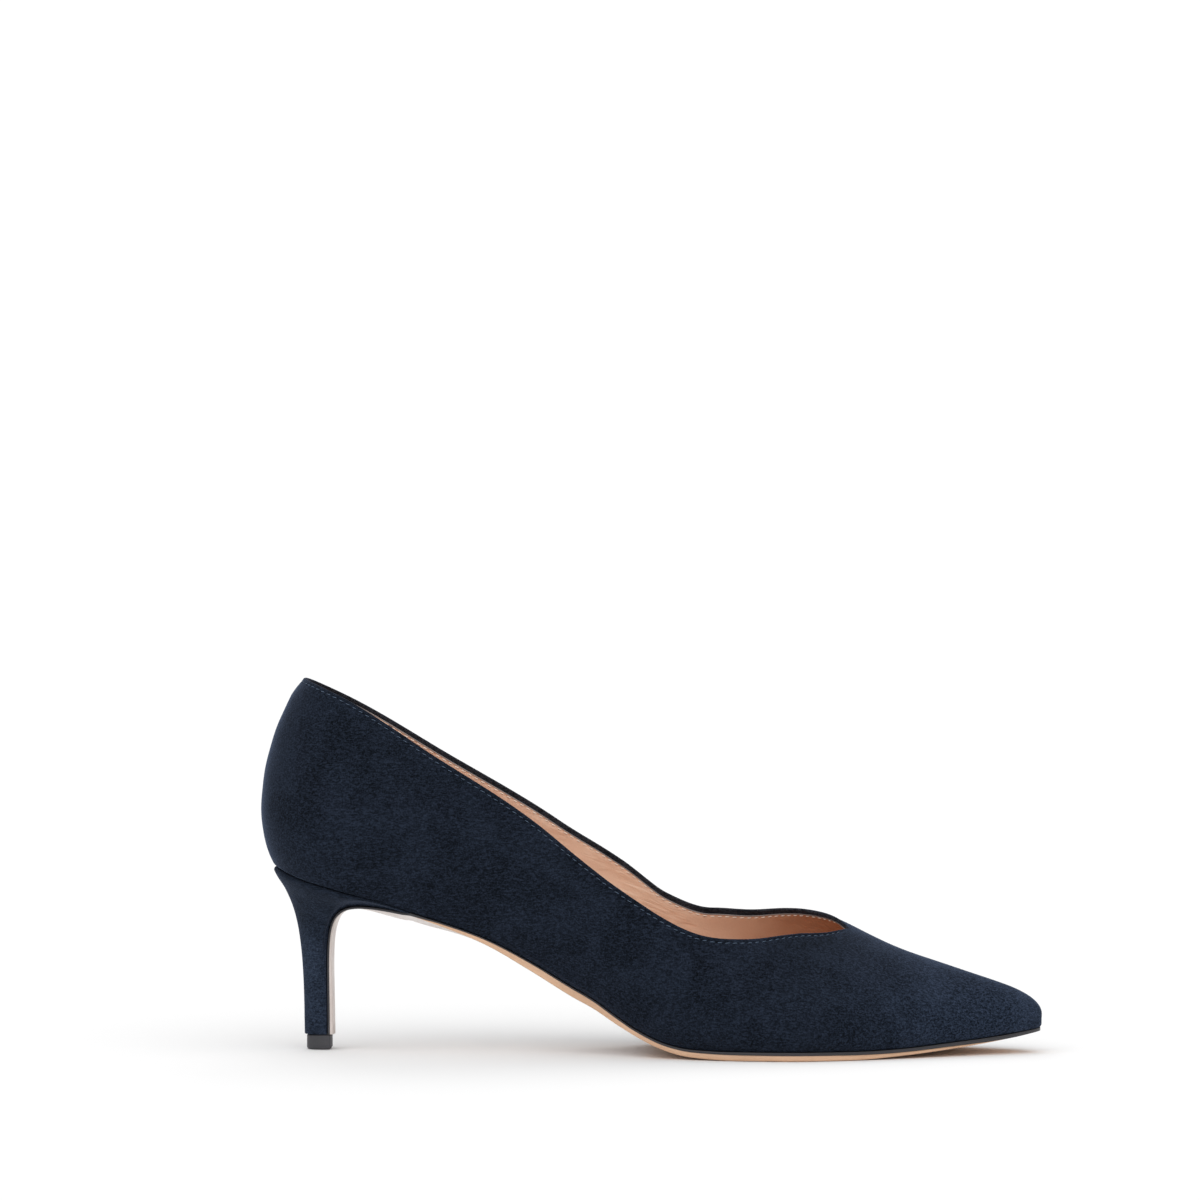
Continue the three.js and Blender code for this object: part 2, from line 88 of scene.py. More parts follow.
# The steps of the grids.
STATIONS = (30, 170, 22)  # round the heel's back, between the heel and toe axes, and round the toe
RIB_CELLS = 60
HEEL_ROWS = np.linspace(0, 1, 61) ** 0.8  # shares of the way up the heel, closer together at its top

# What the dressed pieces add.
FOLD = 0.55  # radius of the suede's folded edge
HEEL_EDGE = 1.0  # round of the heel cover's top edge, and of the upper's edge over it
FRONT_EDGE = 0.25  # round of the heel cover's top edge at its front
TOE_FILL = 0.9  # the suede stands this far out over the feather line at the toe tip, flush with the sole
TURNED_UNDER = 0.05  # the suede's margin reaches this far below the feather line
LINING_DROP = 1.9  # the lining's edge lies this far below the topline
LINING_DROP_BACK = 1.45  # the same at the heel's back
LINING_BACK = 1.14  # depth of the lining's hidden face under the suede's
LINING_FACE = 1.52
SEAM_BELOW = 1.7  # the outer stitch row, below the topline
SEAM_BELOW_BACK = 1.3  # the same at the heel's back
LINING_SEAM_BELOW = 0.85  # the inner stitch row, below the lining's edge
STITCH_PITCH = 2.45
GRIP_FRONT = 42.0  # where the heel grip's front seam crosses the lining

# Painted shade on the lining, darker at the heel and towards the toe where less light reaches inside: colour
# factors at shares of a span along the foot, in millimetres from the shoe's middle.
LINING_SPAN = (-60.0, 60.0)
LINING_PAINTED_SHADE = (
    (0.10, (240, 236, 236)),
    (0.42, (255, 255, 255)),
    (0.58, (250, 250, 250)),
    (0.90, (200, 181, 169)),
)

# The studio's light, as shares of full white on the floor, and the camera.
ROOM_LIGHT = 0.44
BACK_LIGHT = 0.12
FRONT_LIGHT = 0.53
BACKDROP = 1.1  # the room's strength as the camera sees it
LENS = 139.5
CAMERA_DISTANCE = 1500.0  # from the pivot
CAMERA_HEIGHT = 145.0
CAMERA_TURN = math.radians(2.5)
CAMERA_PIVOT = 109.5  # the point along the foot that the camera turns about

# The shift from the maker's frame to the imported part's, read off the heel tip.
tip_low, tip_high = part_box("heel_tip")
SHIFT = np.array([1000 * tip_low.x - TOP_PIECE["back"], 500 * (tip_low.y + tip_high.y), 0.0])


def table(names, rows):
    """Columns by name."""
    return dict(zip(names.split(), np.array(rows, float).T))


OUTLINE = table("along outer inner", [
    (0.017, 0.309, 0.309),
    (0.108, 0.309, 0.303),
    (0.180, 0.290, 0.276),
    (0.250, 0.266, 0.235),
    (0.320, 0.254, 0.204),
    (0.380, 0.265, 0.200),
    (0.440, 0.315, 0.233),
    (0.500, 0.386, 0.293),
    (0.560, 0.452, 0.366),
    (0.620, 0.498, 0.433),
    (0.680, 0.512, 0.473),
    (0.742, 0.466, 0.446),
    (0.820, 0.358, 0.349),
    (0.885, 0.251, 0.246),
    (0.948, 0.151, 0.151),
    (0.997, 0.089, 0.089),
])

UNDERSIDE = table("along arch spring edge", [
    (0.017, 0.985, 0.00, 0.30),
    (0.040, 0.946, 0.00, 0.30),
    (0.108, 0.863, 0.00, 0.30),
    (0.165, 0.796, 0.00, 0.30),
    (0.200, 0.746, 0.00, 0.32),
    (0.240, 0.683, 0.00, 0.50),
    (0.295, 0.586, 0.00, 0.72),
    (0.350, 0.452, 0.00, 1.00),
    (0.405, 0.312, 0.00, 1.08),
    (0.432, 0.252, 0.00, 1.02),
    (0.460, 0.176, 0.00, 0.92),
    (0.487, 0.110, 0.00, 0.82),
    (0.514, 0.056, 0.00, 0.82),
    (0.542, 0.021, 0.00, 0.88),
    (0.580, 0.004, 0.00, 0.96),
    (0.620, 0.000, 0.00, 1.00),
    (0.755, 0.000, 0.00, 0.97),
    (0.820, 0.000, 0.12, 0.83),
    (0.885, 0.000, 0.36, 0.74),
    (0.948, 0.000, 0.68, 0.56),
    (0.997, 0.000, 1.00, 0.43),
])

RIDGE = table("along lift rise", [
    (0.055, 0.950, 1.088),
    (0.108, 0.880, 1.064),
    (0.240, 0.700, 0.946),
    (0.380, 0.430, 0.899),
    (0.500, 0.150, 1.003),
    (0.600, 0.050, 0.917),
    (0.680, 0.045, 0.754),
    (0.742, 0.045, 0.641),
    (0.820, 0.050, 0.495),
    (0.885, 0.070, 0.385),
    (0.948, 0.100, 0.272),
    (0.997, 0.130, 0.170),
])

SECTION = table("along up side_outer side_inner crown_outer crown_inner mouth drop tilt shift", [
    (0.017, 0.26, 1.36, 1.36, 1.165, 1.165, 0.597, 0.36, 0.00, 0.000),
    (0.108, 0.21, 1.28, 1.28, 1.19, 1.19, 0.88, 0.38, 0.00, 0.000),
    (0.240, 0.18, 1.32, 1.34, 1.36, 1.42, 1.10, 0.38, 0.00, 0.000),
    (0.380, 0.11, 1.40, 1.42, 1.60, 1.75, 1.30, 0.42, 0.00, -0.014),
    (0.500, 0.10, 1.32, 1.36, 1.38, 1.50, 0.80, 0.30, 0.10, -0.041),
    (0.600, 0.16, 1.24, 1.18, 1.05, 1.00, 0.20, 0.10, 0.34, -0.055),
    (0.680, 0.22, 1.22, 1.14, 0.78, 0.72, 0.00, 0.00, 0.34, -0.055),
    (0.742, 0.28, 1.26, 1.15, 0.62, 0.68, 0.00, 0.00, 0.31, -0.055),
    (0.820, 0.30, 1.28, 1.20, 0.62, 0.66, 0.00, 0.00, 0.20, -0.041),
    (0.885, 0.34, 1.32, 1.28, 0.66, 0.68, 0.00, 0.00, 0.18, -0.025),
    (0.948, 0.42, 1.36, 1.34, 0.74, 0.74, 0.00, 0.00, 0.06, -0.009),
    (0.997, 0.48, 1.38, 1.38, 0.77, 0.77, 0.00, 0.00, 0.00, 0.000),
])

COLLAR = table("along outer inner", [
    (0.017, 0.982, 0.982),
    (0.108, 0.978, 0.960),
    (0.240, 0.930, 0.934),
    (0.380, 0.866, 0.906),
    (0.460, 0.754, 0.815),
    (0.520, 0.694, 0.685),
    (0.580, 0.665, 0.604),
    (0.640, 0.688, 0.633),
    (0.690, 0.781, 0.742),
    (0.735, 0.886, 0.884),
    (0.757, 1.000, 1.000),
])

STRINGS = table("along hug inward narrow under", [
    (0.00, 0.80, 0.50, 0.50, 0.200),
    (0.30, 0.78, 0.51, 0.50, 0.190),
    (0.62, 0.78, 0.62, 0.54, 0.125),
    (0.85, 0.91, 0.98, 0.70, -0.020),
    (1.00, 1.00, 1.15, 0.82, -0.100),
])

# Millimetres of the sole's painted upper layer, and how far the tan layer is set in under it.
SOLE_LAYERS = table("along painted inset", [
    (0.199, 0.80, 0.20),
    (0.215, 0.62, 0.20),
    (0.240, 0.42, 0.20),
    (0.300, 0.42, 0.15),
    (0.350, 0.45, 0.15),
    (0.405, 0.52, 0.15),
    (0.460, 0.62, 0.15),
    (0.514, 0.70, 0.18),
    (0.560, 0.80, 0.20),
    (0.620, 0.92, 0.25),
    (0.720, 1.00, 0.25),
    (0.885, 1.15, 0.35),
    (0.948, 1.30, 0.80),
    (0.997, 1.03, 2.00),
])


def slopes(xs, ys):
    """The slope at each point: the weighted mean of the slopes beside it, at most three times the smaller
    one, and 0 where the points turn."""
    steps = np.diff(xs)
    rates = np.diff(ys) / steps
    mean = (rates[:-1] * steps[1:] + rates[1:] * steps[:-1]) / (steps[:-1] + steps[1:])
    most = 3 * np.minimum(abs(rates[:-1]), abs(rates[1:]))
    inner = np.sign(mean) * np.minimum(abs(mean), most)
    inner[rates[:-1] * rates[1:] <= 0] = 0
    return np.concatenate([rates[:1], inner, rates[-1:]])


def read(columns, name, share):
    """A column as a smooth cubic through its points, over the along column, straight on past both ends."""
    xs, ys = columns["along"], columns[name]
    slope = slopes(xs, ys)
    share = np.asarray(share, float)
    i = np.clip(np.searchsorted(xs, share) - 1, 0, len(xs) - 2)
    span = xs[i + 1] - xs[i]
    t = (share - xs[i]) / span
    inside = np.clip(t, 0, 1)
    u = 1 - inside
    value = ys[i] * u * u * (1 + 2 * inside) + ys[i + 1] * inside * inside * (3 - 2 * inside)
    value += span * inside * u * (slope[i] * u - slope[i + 1] * inside)
    value += np.minimum(t, 0) * span * slope[i] + np.maximum(t - 1, 0) * span * slope[i + 1]
    return value


def sided(columns, name, side, share):
    """The column of the outer side where side is -1, and of the inner side where it is 1."""
    outer = read(columns, name + "outer", share)
    inner = read(columns, name + "inner", share)
    return np.where(side < 0, outer, inner)


def soft_ramp(value, width):
    """0 well below 0 and the value well above it: half the sum of the value and its root with the width."""
    return (value + np.hypot(value, width)) / 2


def mix(a, b, t):
    """The value a share of the way from one to the other."""
    return a + (b - a) * t


def rise(value, low, high):
    """0 up to low, 1 from high on, and a smooth S between."""
    t = np.clip((value - low) / (high - low), 0, 1)
    return t * t * (3 - 2 * t)


def at_toe(x):
    """0 behind the toe's last stretch and 1 at its tip."""
    return rise(x / LENGTH, 0.955, 0.997)


def bump_at(value, centre, width):
    """A bell of height 1 round the centre."""
    return np.exp(-(((value - centre) / width) ** 2))


def bezier(a, b, c, d, t):
    """The cubic curve with its ends a and d and its controls b and c."""
    u = 1 - t
    return a * u ** 3 + b * 3 * t * u * u + c * 3 * t * t * u + d * t ** 3


def unit(vectors):
    """The vectors at length 1."""
    return vectors / np.maximum(np.linalg.norm(vectors, axis=-1, keepdims=True), 1e-12)


def stack(x, y, z):
    """Points from their coordinates."""
    return np.stack(np.broadcast_arrays(x, y, z), axis=-1).astype(float)


def foot_width(side, x):
    """Half the feather line's width on a side, rounded by a quarter ellipse behind the heel axis and past the
    toe axis."""
    width = BALL_WIDTH * sided(OUTLINE, "", side, x / LENGTH)
    behind = np.maximum(HEEL_AXIS - x, 0) / (HEEL_AXIS - HEEL_BACK)
    beyond = np.maximum(x - TOE_AXIS, 0) / (TOE_END - TOE_AXIS)
    return width * np.sqrt(np.maximum(1 - behind ** 2, 0) * np.maximum(1 - beyond ** 2, 0))


def underside_height(x):
    """The sole's lower edge: the arch's share of the heel height and the toe's share of its spring."""
    share = x / LENGTH
    return HEEL_HEIGHT * read(UNDERSIDE, "arch", share) + TOE_SPRING * read(UNDERSIDE, "spring", share)


def seat_height(x):
    """The feather line's height: the sole's edge over its underside."""
    return underside_height(x) + SOLE_EDGE * read(UNDERSIDE, "edge", x / LENGTH)


def ridge_height(x):
    """The last's ridge: a share of the heel height and a share of the instep."""
    share = x / LENGTH
    return HEEL_HEIGHT * read(RIDGE, "lift", share) + INSTEP * read(RIDGE, "rise", share)


def ridge_station(x):
    """Where a rib's ridge end stands: over its foot, but no farther back than the heel axis and no farther on
    than the toe axis, with soft bends."""
    ahead = HEEL_AXIS + soft_ramp(x - HEEL_AXIS, 0.032 * LENGTH)
    pole = TOE_AXIS + 0.006 * LENGTH
    return pole - soft_ramp(pole - ahead, 0.028 * LENGTH)


def rib_point(side, x, q):
    """A point of the last: the cubic from the feather line at x over two controls to the ridge, at share
    q."""
    share = x / LENGTH
    ridge_x = ridge_station(x)
    ridge_y = BALL_WIDTH * read(SECTION, "shift", ridge_x / LENGTH)
    reach_x = x - ridge_x
    reach_y = side * foot_width(side, x) - ridge_y
    bulge = sided(SECTION, "side_", side, share)
    crown = sided(SECTION, "crown_", side, share)
    mouth = np.maximum(read(SECTION, "mouth", share), 0)
    foot = seat_height(x)
    end = ridge_height(ridge_x + reach_x * mouth)
    height = end - foot
    slope = ridge_height(ridge_x + 0.5) - ridge_height(ridge_x - 0.5)
    closed = np.clip(1 - 2 * mouth, 0, 1)
    level = foot + read(SECTION, "up", share) * height
    sag = np.maximum(read(SECTION, "drop", share), 0) * height
    lean = closed * slope * reach_x + read(SECTION, "tilt", share) * reach_y
    out = bezier(1.0, bulge, crown, mouth, q)
    z = bezier(foot, level, end - sag + lean * crown, end, q)
    return stack(ridge_x + reach_x * out, ridge_y + reach_y * out, z)


def collar_share(side, x):
    """The share of each rib that the collar keeps: all of it from the throat on."""
    kept = np.clip(sided(COLLAR, "", side, x / LENGTH), 0, 1)
    return np.where(x >= THROAT, 1.0, kept)


def foot_stations(heel, middle, toe):
    """Stations from the heel's back to the toe tip: by equal turns round both ends, and even between."""
    turn = np.linspace(0, QUARTER, heel + 1)[:-1]
    back = HEEL_AXIS - (HEEL_AXIS - HEEL_BACK) * np.cos(turn)
    before = round(middle * (THROAT - HEEL_AXIS) / (TOE_AXIS - HEEL_AXIS))
    waist = np.linspace(HEEL_AXIS, THROAT, before + 1)[:-1]
    vamp = np.linspace(THROAT, TOE_AXIS, middle - before + 1)[:-1]
    tip = TOE_AXIS + (TOE_END - TOE_AXIS) * np.sin(np.linspace(0, QUARTER, toe + 1))
    return np.concatenate([back, waist, vamp, tip])


def feather_line(side, xs, out):
    """The feather line at the stations, moved out in plan along its own normal."""
    width = foot_width(side, xs)
    along = np.gradient(xs)
    across = np.gradient(width)
    size = np.hypot(along, across)
    normal_x = -across / size
    normal_y = along / size
    ends = (xs <= HEEL_BACK + 1e-6) | (xs >= TOE_END - 1e-6)
    normal_x = np.where(ends, np.where(xs < LENGTH / 2, -1.0, 1.0), normal_x)
    normal_y = np.where(ends, 0.0, normal_y)
    return xs + normal_x * out, side * (width + normal_y * out)


class Last:
    """The last's surface in columns round the foot, from the toe tip along the outer side, round the heel and
    back along the inner side. A place is its column, its height above the feather line along the rib, and its
    depth under the surface, all in millimetres."""

    def __init__(self):
        xs = foot_stations(*STATIONS)
        self.x = np.concatenate([xs[::-1], xs[1:]])
        self.side = np.concatenate([-np.ones(len(xs)), np.ones(len(xs) - 1)])
        self.open = self.x < THROAT - 1e-6
        self.fade = rise(THROAT - self.x, 0, 4.0)
        self.kept = collar_share(self.side, self.x)
        self.share = np.linspace(0, 1, RIB_CELLS + 1)
        base = self.surface(np.tile(self.share, (len(self.x), 1)))
        steps = np.linalg.norm(np.diff(base, axis=1), axis=-1)
        self.reach = np.concatenate([np.zeros((len(self.x), 1)), np.cumsum(steps, axis=1)], axis=1)
        self.total = self.reach[:, -1]
        self.normals = self.smooth_normals(base)
        back = len(xs) - 1
        feather = base[:, 0]
        run = np.concatenate([[0], np.cumsum(np.linalg.norm(np.diff(feather, axis=0), axis=-1))])
        self.from_back = run - run[back]

    def surface(self, share):
        """Points at shares of the way up the kept ribs."""
        return rib_point(self.side[:, None], self.x[:, None], self.kept[:, None] * share)

    def smooth_normals(self, base):
        """The mean of the faces at each point, the same on both sides of the ridge and of the toe tip."""
        face = np.cross(base[1:, :-1] - base[:-1, 1:], base[1:, 1:] - base[:-1, :-1])
        sums = np.zeros_like(base)
        for i in (0, 1):
            for j in (0, 1):
                sums[i:len(base) - 1 + i, j:base.shape[1] - 1 + j] += face
        shut = ~self.open
        sums[shut, -1] += sums[::-1][shut, -1]
        ends = sums[0] + sums[-1]
        sums[0] = ends
        sums[-1] = ends
        normals = unit(sums)
        middle = np.array([self.x.mean(), 0, 30.0])
        if ((base - middle) * normals).sum() < 0:
            normals = -normals
        return normals

    def shares(self, above):
        """Shares of the ribs at heights above the feather line, one row of heights for each column."""
        return np.array([np.interp(a, r, self.share) for a, r in zip(above, self.reach)])

    def drawn_in(self, above):
        """How far the topline is drawn in at the heel's back, where the last's edge is rounded off."""
        below = self.total[:, None] - above
        return 1.1 * bump_at(self.from_back, 0, 18)[:, None] * (1 - rise(below, -0.5, 8.0))

    def place(self, above, depth):
        """Points at heights above the feather line and depths under the surface. Near the feather line the
        depth is measured level."""
        depth = depth + self.drawn_in(above)
        share = self.shares(above)
        cell = np.clip(share * RIB_CELLS, 0, RIB_CELLS - 0.001)
        i = cell.astype(int)
        t = (cell - i)[..., None]
        column = np.arange(len(self.x))[:, None]
        normal = mix(self.normals[column, i], self.normals[column, i + 1], t)
        normal[..., 2] *= rise(above, 0, 2.5)
        return self.surface(share) - unit(normal) * np.broadcast_to(depth, share.shape)[..., None]

    def margin(self, depth, lift):
        """Points at level depths inside the feather line, lifted by the heights."""
        level = self.normals[:, :1].copy()
        level[..., 2] = 0
        foot = self.surface(np.zeros((len(self.x), 1)))
        points = foot - unit(level) * depth[..., None]
        points[..., 2] += lift
        return points


last = Last()


def grid_quads(columns, rows, keep=None, loop=False):
    """Quads between neighbouring columns and rows of a flattened grid. With loop, the last row meets the
    first."""
    c, r = np.meshgrid(np.arange(columns - 1), np.arange(rows if loop else rows - 1), indexing="ij")
    after = (r + 1) % rows
    quads = np.stack([c * rows + r, (c + 1) * rows + r, (c + 1) * rows + after, c * rows + after], axis=-1)
    if keep is not None:
        quads = quads[keep[:, :quads.shape[1]]]
    return quads.reshape(-1, 4)


def rib_rows(foot, middle, top, total):
    """Heights along each rib: the foot heights, even steps, then the top ones counted down from its end."""
    foot = np.tile(foot, (len(total), 1))
    top = total[:, None] - np.asarray(top)
    steps = np.linspace(0, 1, middle + 2)[None, 1:-1]
    return np.concatenate([foot, mix(foot[:, -1:], top[:, :1], steps), top], axis=1)


def back_seam(height):
    """Relief round the heel's back: a narrow trough along the seam between two soft ridges, and small ripples
    in the suede beside it."""
    off = abs(last.from_back)[:, None]
    trough = 0.12 * bump_at(off, 0.95, 0.45) - 0.28 * bump_at(off, 0, 0.4)
    ripples = 0.10 * np.sin(height / 3.1) * np.sin(height / 7.3 + 1) * bump_at(off, 0, 14)
    return trough + ripples


def seam_below():
    """How far below the topline the outer stitch row runs, by column."""
    return mix(SEAM_BELOW_BACK, SEAM_BELOW, rise(last.x / LENGTH, 0.05, 0.25))


def tucked(above):
    """How far the suede's lower edge is rounded in at a height: a quarter circle from its turned margin
    up, wide over the heel and narrow over the sole."""
    along = last.x / LENGTH
    radius = mix(HEEL_EDGE, 0.8, rise(along, 0.12, 0.19)) - 0.44 * rise(along, 0.20, 0.26)
    radius = radius[:, None]
    short = np.clip(radius - TURNED_UNDER - above, 0, radius)
    return radius - np.sqrt(radius ** 2 - short ** 2)


def suede_relief(above):
    """How far the suede stands out of the last: a soft roll along the folded edge, a trough under its
    stitches, a low ridge over the waist's board edge, the back seam and slow waves from the lasting."""
    below = last.total[:, None] - above
    open_edge = last.fade[:, None]
    along = last.x[:, None] / LENGTH
    seam = seam_below()[:, None]
    stitched = 0.12 * bump_at(below, seam - 0.9, 0.5) - 0.20 * bump_at(below, seam, 0.42)
    waist = 0.28 * bump_at(above, 2.6, 0.8) * rise(along, 0.26, 0.33) * (1 - rise(along, 0.44, 0.52))
    waves = 0.10 * np.sin(last.x[:, None] / 11.0 + above / 9.0) * np.sin(above / 13.0)
    heel = back_seam(above) * rise(above, 0.4, 2.5) * rise(below, 0.5, 2.0)
    waves = waves * rise(above, 2, 8) * rise(below, 3, 9)
    toe = TOE_FILL * at_toe(last.x[:, None]) * (1 - rise(above, 0, 3.5))
    return stitched * open_edge + waist + waves + heel + toe - tucked(above)


def shell(parts, first, count):
    """The skin through the parts' rows, closed round each column. Where the vamp is shut it leaves out
    the given count of rows from the first. The third item is the row of each face."""
    points = np.concatenate(parts, axis=1)
    rows = points.shape[1]
    keep = np.ones((len(last.x) - 1, rows), bool)
    shut = ~last.open[1:] & ~last.open[:-1]
    keep[np.ix_(shut, np.arange(first, first + count))] = False
    faces = grid_quads(len(last.x), rows, keep, loop=True)
    return points.reshape(-1, 3), faces, faces[:, 0] % rows


def suede_shell():
    """The suede of the upper: its outer face on the last with the relief, a round fold along the topline, an
    inner face, and a margin turned in under the foot. The third item marks the fold's far side and inner
    face, which take a greyer suede made lighter with painted light."""
    foot = [0.45, 0.8, 1.2, 1.65, 2.1, 2.6, 3.1, 3.7, 4.5]
    top = [5.4, 4.5, 3.8, 3.3, 2.9, 2.6, 2.35, 2.15, 2.0, 1.85, 1.65, 1.4, 1.15, 0.9, 0.7]
    outer = rib_rows(foot, 34, top, last.total)
    face = last.place(outer, -suede_relief(outer))
    turn = np.linspace(0, math.pi, 9)
    rolled = last.total[:, None] - FOLD * (1 - np.sin(turn)) * last.fade[:, None]
    fold = last.place(rolled, FOLD * (1 - np.cos(turn)))
    inner_rows = mix(rolled[:, -1:], 0.6, np.linspace(0, 1, 15)[None, 1:])
    inner = last.place(inner_rows, 2 * FOLD)
    lift = np.array([[0.3, -0.05, -0.05, -0.04, -0.01, 0.05, 0.14, 0.27]])
    sunk = tucked(lift) - TOE_FILL * at_toe(last.x)[:, None]
    sunk[:, :2] = 1.6
    under = last.margin(sunk, lift)
    first = face.shape[1]
    margin = first + fold.shape[1] + inner.shape[1]
    points, faces, row = shell([face, fold, inner, under], first, len(turn) - 1)
    return points, faces, (row > first + 1) & (row < margin - 1)


def lining_drop():
    """How far the lining's edge lies below the topline, by column."""
    return mix(LINING_DROP_BACK, LINING_DROP, rise(last.x / LENGTH, 0.10, 0.34))


def lining_shell():
    """The leather lining: a hidden face against the suede, a rounded cut edge below the fold, and the
    seen face with a trough under its stitches. In the closed vamp it goes up to the ridge."""
    fade = last.fade[:, None]
    drop = lining_drop()[:, None]
    hidden_rows = mix(0.6, last.total[:, None] - (drop + 0.7) * fade, np.linspace(0, 1, 12)[None])
    hidden = last.place(hidden_rows, LINING_BACK)
    rim_below = drop + np.array([0.25, 0.08, 0.0, 0.03, 0.16, 0.35])
    rim_depth = np.array([1.14, 1.17, 1.26, 1.40, 1.49, LINING_FACE])
    rim_rows = last.total[:, None] - rim_below * fade
    rim = last.place(rim_rows, rim_depth)
    near = drop + np.array([0.5, 0.6, 0.7, 0.8, 0.95, 1.1, 1.3, 1.5, 1.8, 2.4, 3.2])
    near_rows = last.total[:, None] - near * mix(0.5, 1.0, fade)
    deep_rows = mix(near_rows[:, -1:], 0.5, np.linspace(0, 1, 30)[None, 1:])
    seen_rows = np.concatenate([near_rows, deep_rows], axis=1)
    below = last.total[:, None] - seen_rows
    sewn = drop + LINING_SEAM_BELOW
    puckers = 0.06 * np.sin(last.from_back[:, None] * 2 * math.pi / 5.3) * bump_at(below, sewn, 1.2)
    trough = 0.16 * bump_at(below, sewn, 0.45)
    waves = 0.05 * np.sin(last.x[:, None] / 5.0 + below / 6.0) * rise(below, 3, 8)
    seen = last.place(seen_rows, LINING_FACE - (trough + puckers) * fade + waves * rise(seen_rows, 1, 5))
    first = hidden.shape[1] - 1
    edge_rows = rim_below.shape[1]
    points, faces, row = shell([hidden, rim, seen], first, edge_rows)
    return points, faces, (row >= first) & (row < first + edge_rows)


def heel_grip():
    """The sueded grip inside the heel: a thin sheet over the lining, behind its front seam, with rounded
    edges."""
    behind = np.flatnonzero(last.x < GRIP_FRONT)
    span = last.from_back[behind]
    end = np.minimum(span - span[0], span[-1] - span)[:, None]
    thick = 0.26 * np.sqrt(np.clip(end / 0.25, 0.02, 1))
    below = lining_drop()[:, None] + np.array([0.45, 0.4, 0.5, 0.8, 1.5, 2.5])
    seen_rows = last.total[:, None] - below
    deep = mix(seen_rows[:, -1:], 0.8, np.linspace(0, 1, 20)[None, 1:])
    seen_rows = np.concatenate([seen_rows, deep], axis=1)
    cover = np.concatenate([[0.0, 0.5, 0.85], np.ones(seen_rows.shape[1] - 3)])
    depth = np.zeros_like(seen_rows)
    depth[behind] = LINING_FACE - 0.02 + thick * cover
    seen = last.place(seen_rows, depth)[behind]
    back_rows = seen_rows[:, ::-1]
    back = last.place(back_rows, LINING_FACE - 0.12)[behind]
    points = np.concatenate([seen, back], axis=1)
    loop = points.shape[1]
    faces = grid_quads(len(behind), loop, loop=True)
    column = faces[:, 0] // loop
    return points.reshape(-1, 3), faces, loop, np.minimum(end[column, 0], end[column + 1, 0]) < 0.9


def topline_path(below, depth):
    """The line at a distance below the open topline: places, directions and outward normals, by run in
    millimetres from its start at the throat on the outer side."""
    above = (last.total - below)[:, None]
    points = last.place(above, depth)[last.open, 0]
    share = last.shares(above)[:, 0]
    i = np.clip(np.round(share * RIB_CELLS).astype(int), 0, RIB_CELLS)
    normals = last.normals[np.arange(len(last.x)), i][last.open]
    run = np.concatenate([[0], np.cumsum(np.linalg.norm(np.diff(points, axis=0), axis=-1))])
    along = unit(np.gradient(points, axis=0))
    return run, points, along, normals


def tube_faces(count, rings, around):
    """The faces of tubes whose points follow one another: quads between the rings and a face on each end."""
    each = rings * around
    start = (np.arange(count) * each)[:, None, None]
    first = np.arange(around)
    quads = (grid_quads(rings, around, loop=True) + start).reshape(-1, 4)
    caps = (np.stack([first[::-1], each - around + first]) + start).reshape(-1, around)
    return [*quads.tolist(), *caps.tolist()]


def stitches(below, depth, lean, facing, thick):
    """A row of stitches along the topline. Each is a short tube along the seam whose middle stands out of the
    leather and whose ends go into it, a little aslant."""
    run, points, along, normals = topline_path(below, depth)
    count = int((run[-1] - 5.0) / STITCH_PITCH)
    at = 2.5 + STITCH_PITCH * (np.arange(count) + 0.5)

    def along_path(values):
        return np.stack([np.interp(at, run, values[:, k]) for k in range(3)], axis=-1)

    centre = along_path(points)
    forward = unit(along_path(along))
    out = unit(along_path(normals)) * facing
    across = unit(np.cross(out, forward))
    t = np.linspace(-1, 1, 9)
    radius = thick * np.sqrt(np.clip(1.02 - t ** 2, 0, 1)) + 0.02
    height = 0.10 - 0.20 * t ** 4
    turn = np.linspace(0, 2 * math.pi, 7)[:-1]
    middle = (centre[:, None] + forward[:, None] * (0.80 * t)[None, :, None]
              + out[:, None] * height[None, :, None] + across[:, None] * (lean * t)[None, :, None])
    ring = (out[:, None, None] * np.cos(turn)[None, None, :, None]
            + across[:, None, None] * np.sin(turn)[None, None, :, None])
    tubes = middle[:, :, None] + ring * radius[None, :, None, None]
    return tubes.reshape(-1, 3), tube_faces(count, len(t), len(turn))


def heel_turn(around):
    """The angle turned round the heel's back, and the share of its straight side covered, at a share of
    the way round."""
    return QUARTER * np.minimum(around / ROUND, 1), np.maximum(around - ROUND, 0) / (1 - ROUND)


def stem_point(shape, side, around, z):
    """The stem's section: a half circle at the back, straight sides and a flat front."""
    radius = shape["half"]
    angle, straight = heel_turn(around)
    x = shape["back"] + radius - radius * np.cos(angle) + (shape["depth"] - radius) * straight
    return stack(x, side * radius * np.sin(angle), z)


def heel_strings(side, around, t):
    """The heel's side in strings from the stem's foot up to the seat: cubics whose controls hug the stem and
    swing out under the seat."""
    angle, straight = heel_turn(around)
    round_back = HEEL_AXIS - (HEEL_AXIS - HEEL_BACK) * np.cos(angle)
    wing = mix(HEEL_AXIS, WING_END, straight)
    seat = np.where(around <= ROUND, round_back, wing)
    seat_x, seat_y = feather_line(side, seat, 0.2)
    top = stack(seat_x, seat_y, seat_height(seat_x) - GAP)
    foot = stem_point(STEM, side, around, STEM_FOOT)
    above = foot.copy()
    above[:, 2] = mix(foot[:, 2], top[:, 2], read(STRINGS, "hug", around))
    below = np.stack([
        mix(top[:, 0], foot[:, 0], read(STRINGS, "inward", around)),
        mix(top[:, 1], foot[:, 1], read(STRINGS, "narrow", around)),
        top[:, 2] - HEEL_HEIGHT * read(STRINGS, "under", around),
    ], axis=-1)
    return bezier(foot[:, None], above[:, None], below[:, None], top[:, None], t[None, :, None])


def front_of(string):
    """The direction out of the heel's front beside its corner string."""
    ahead = np.gradient(string, axis=0)
    return unit(stack(ahead[:, 2], 0, -ahead[:, 0]))


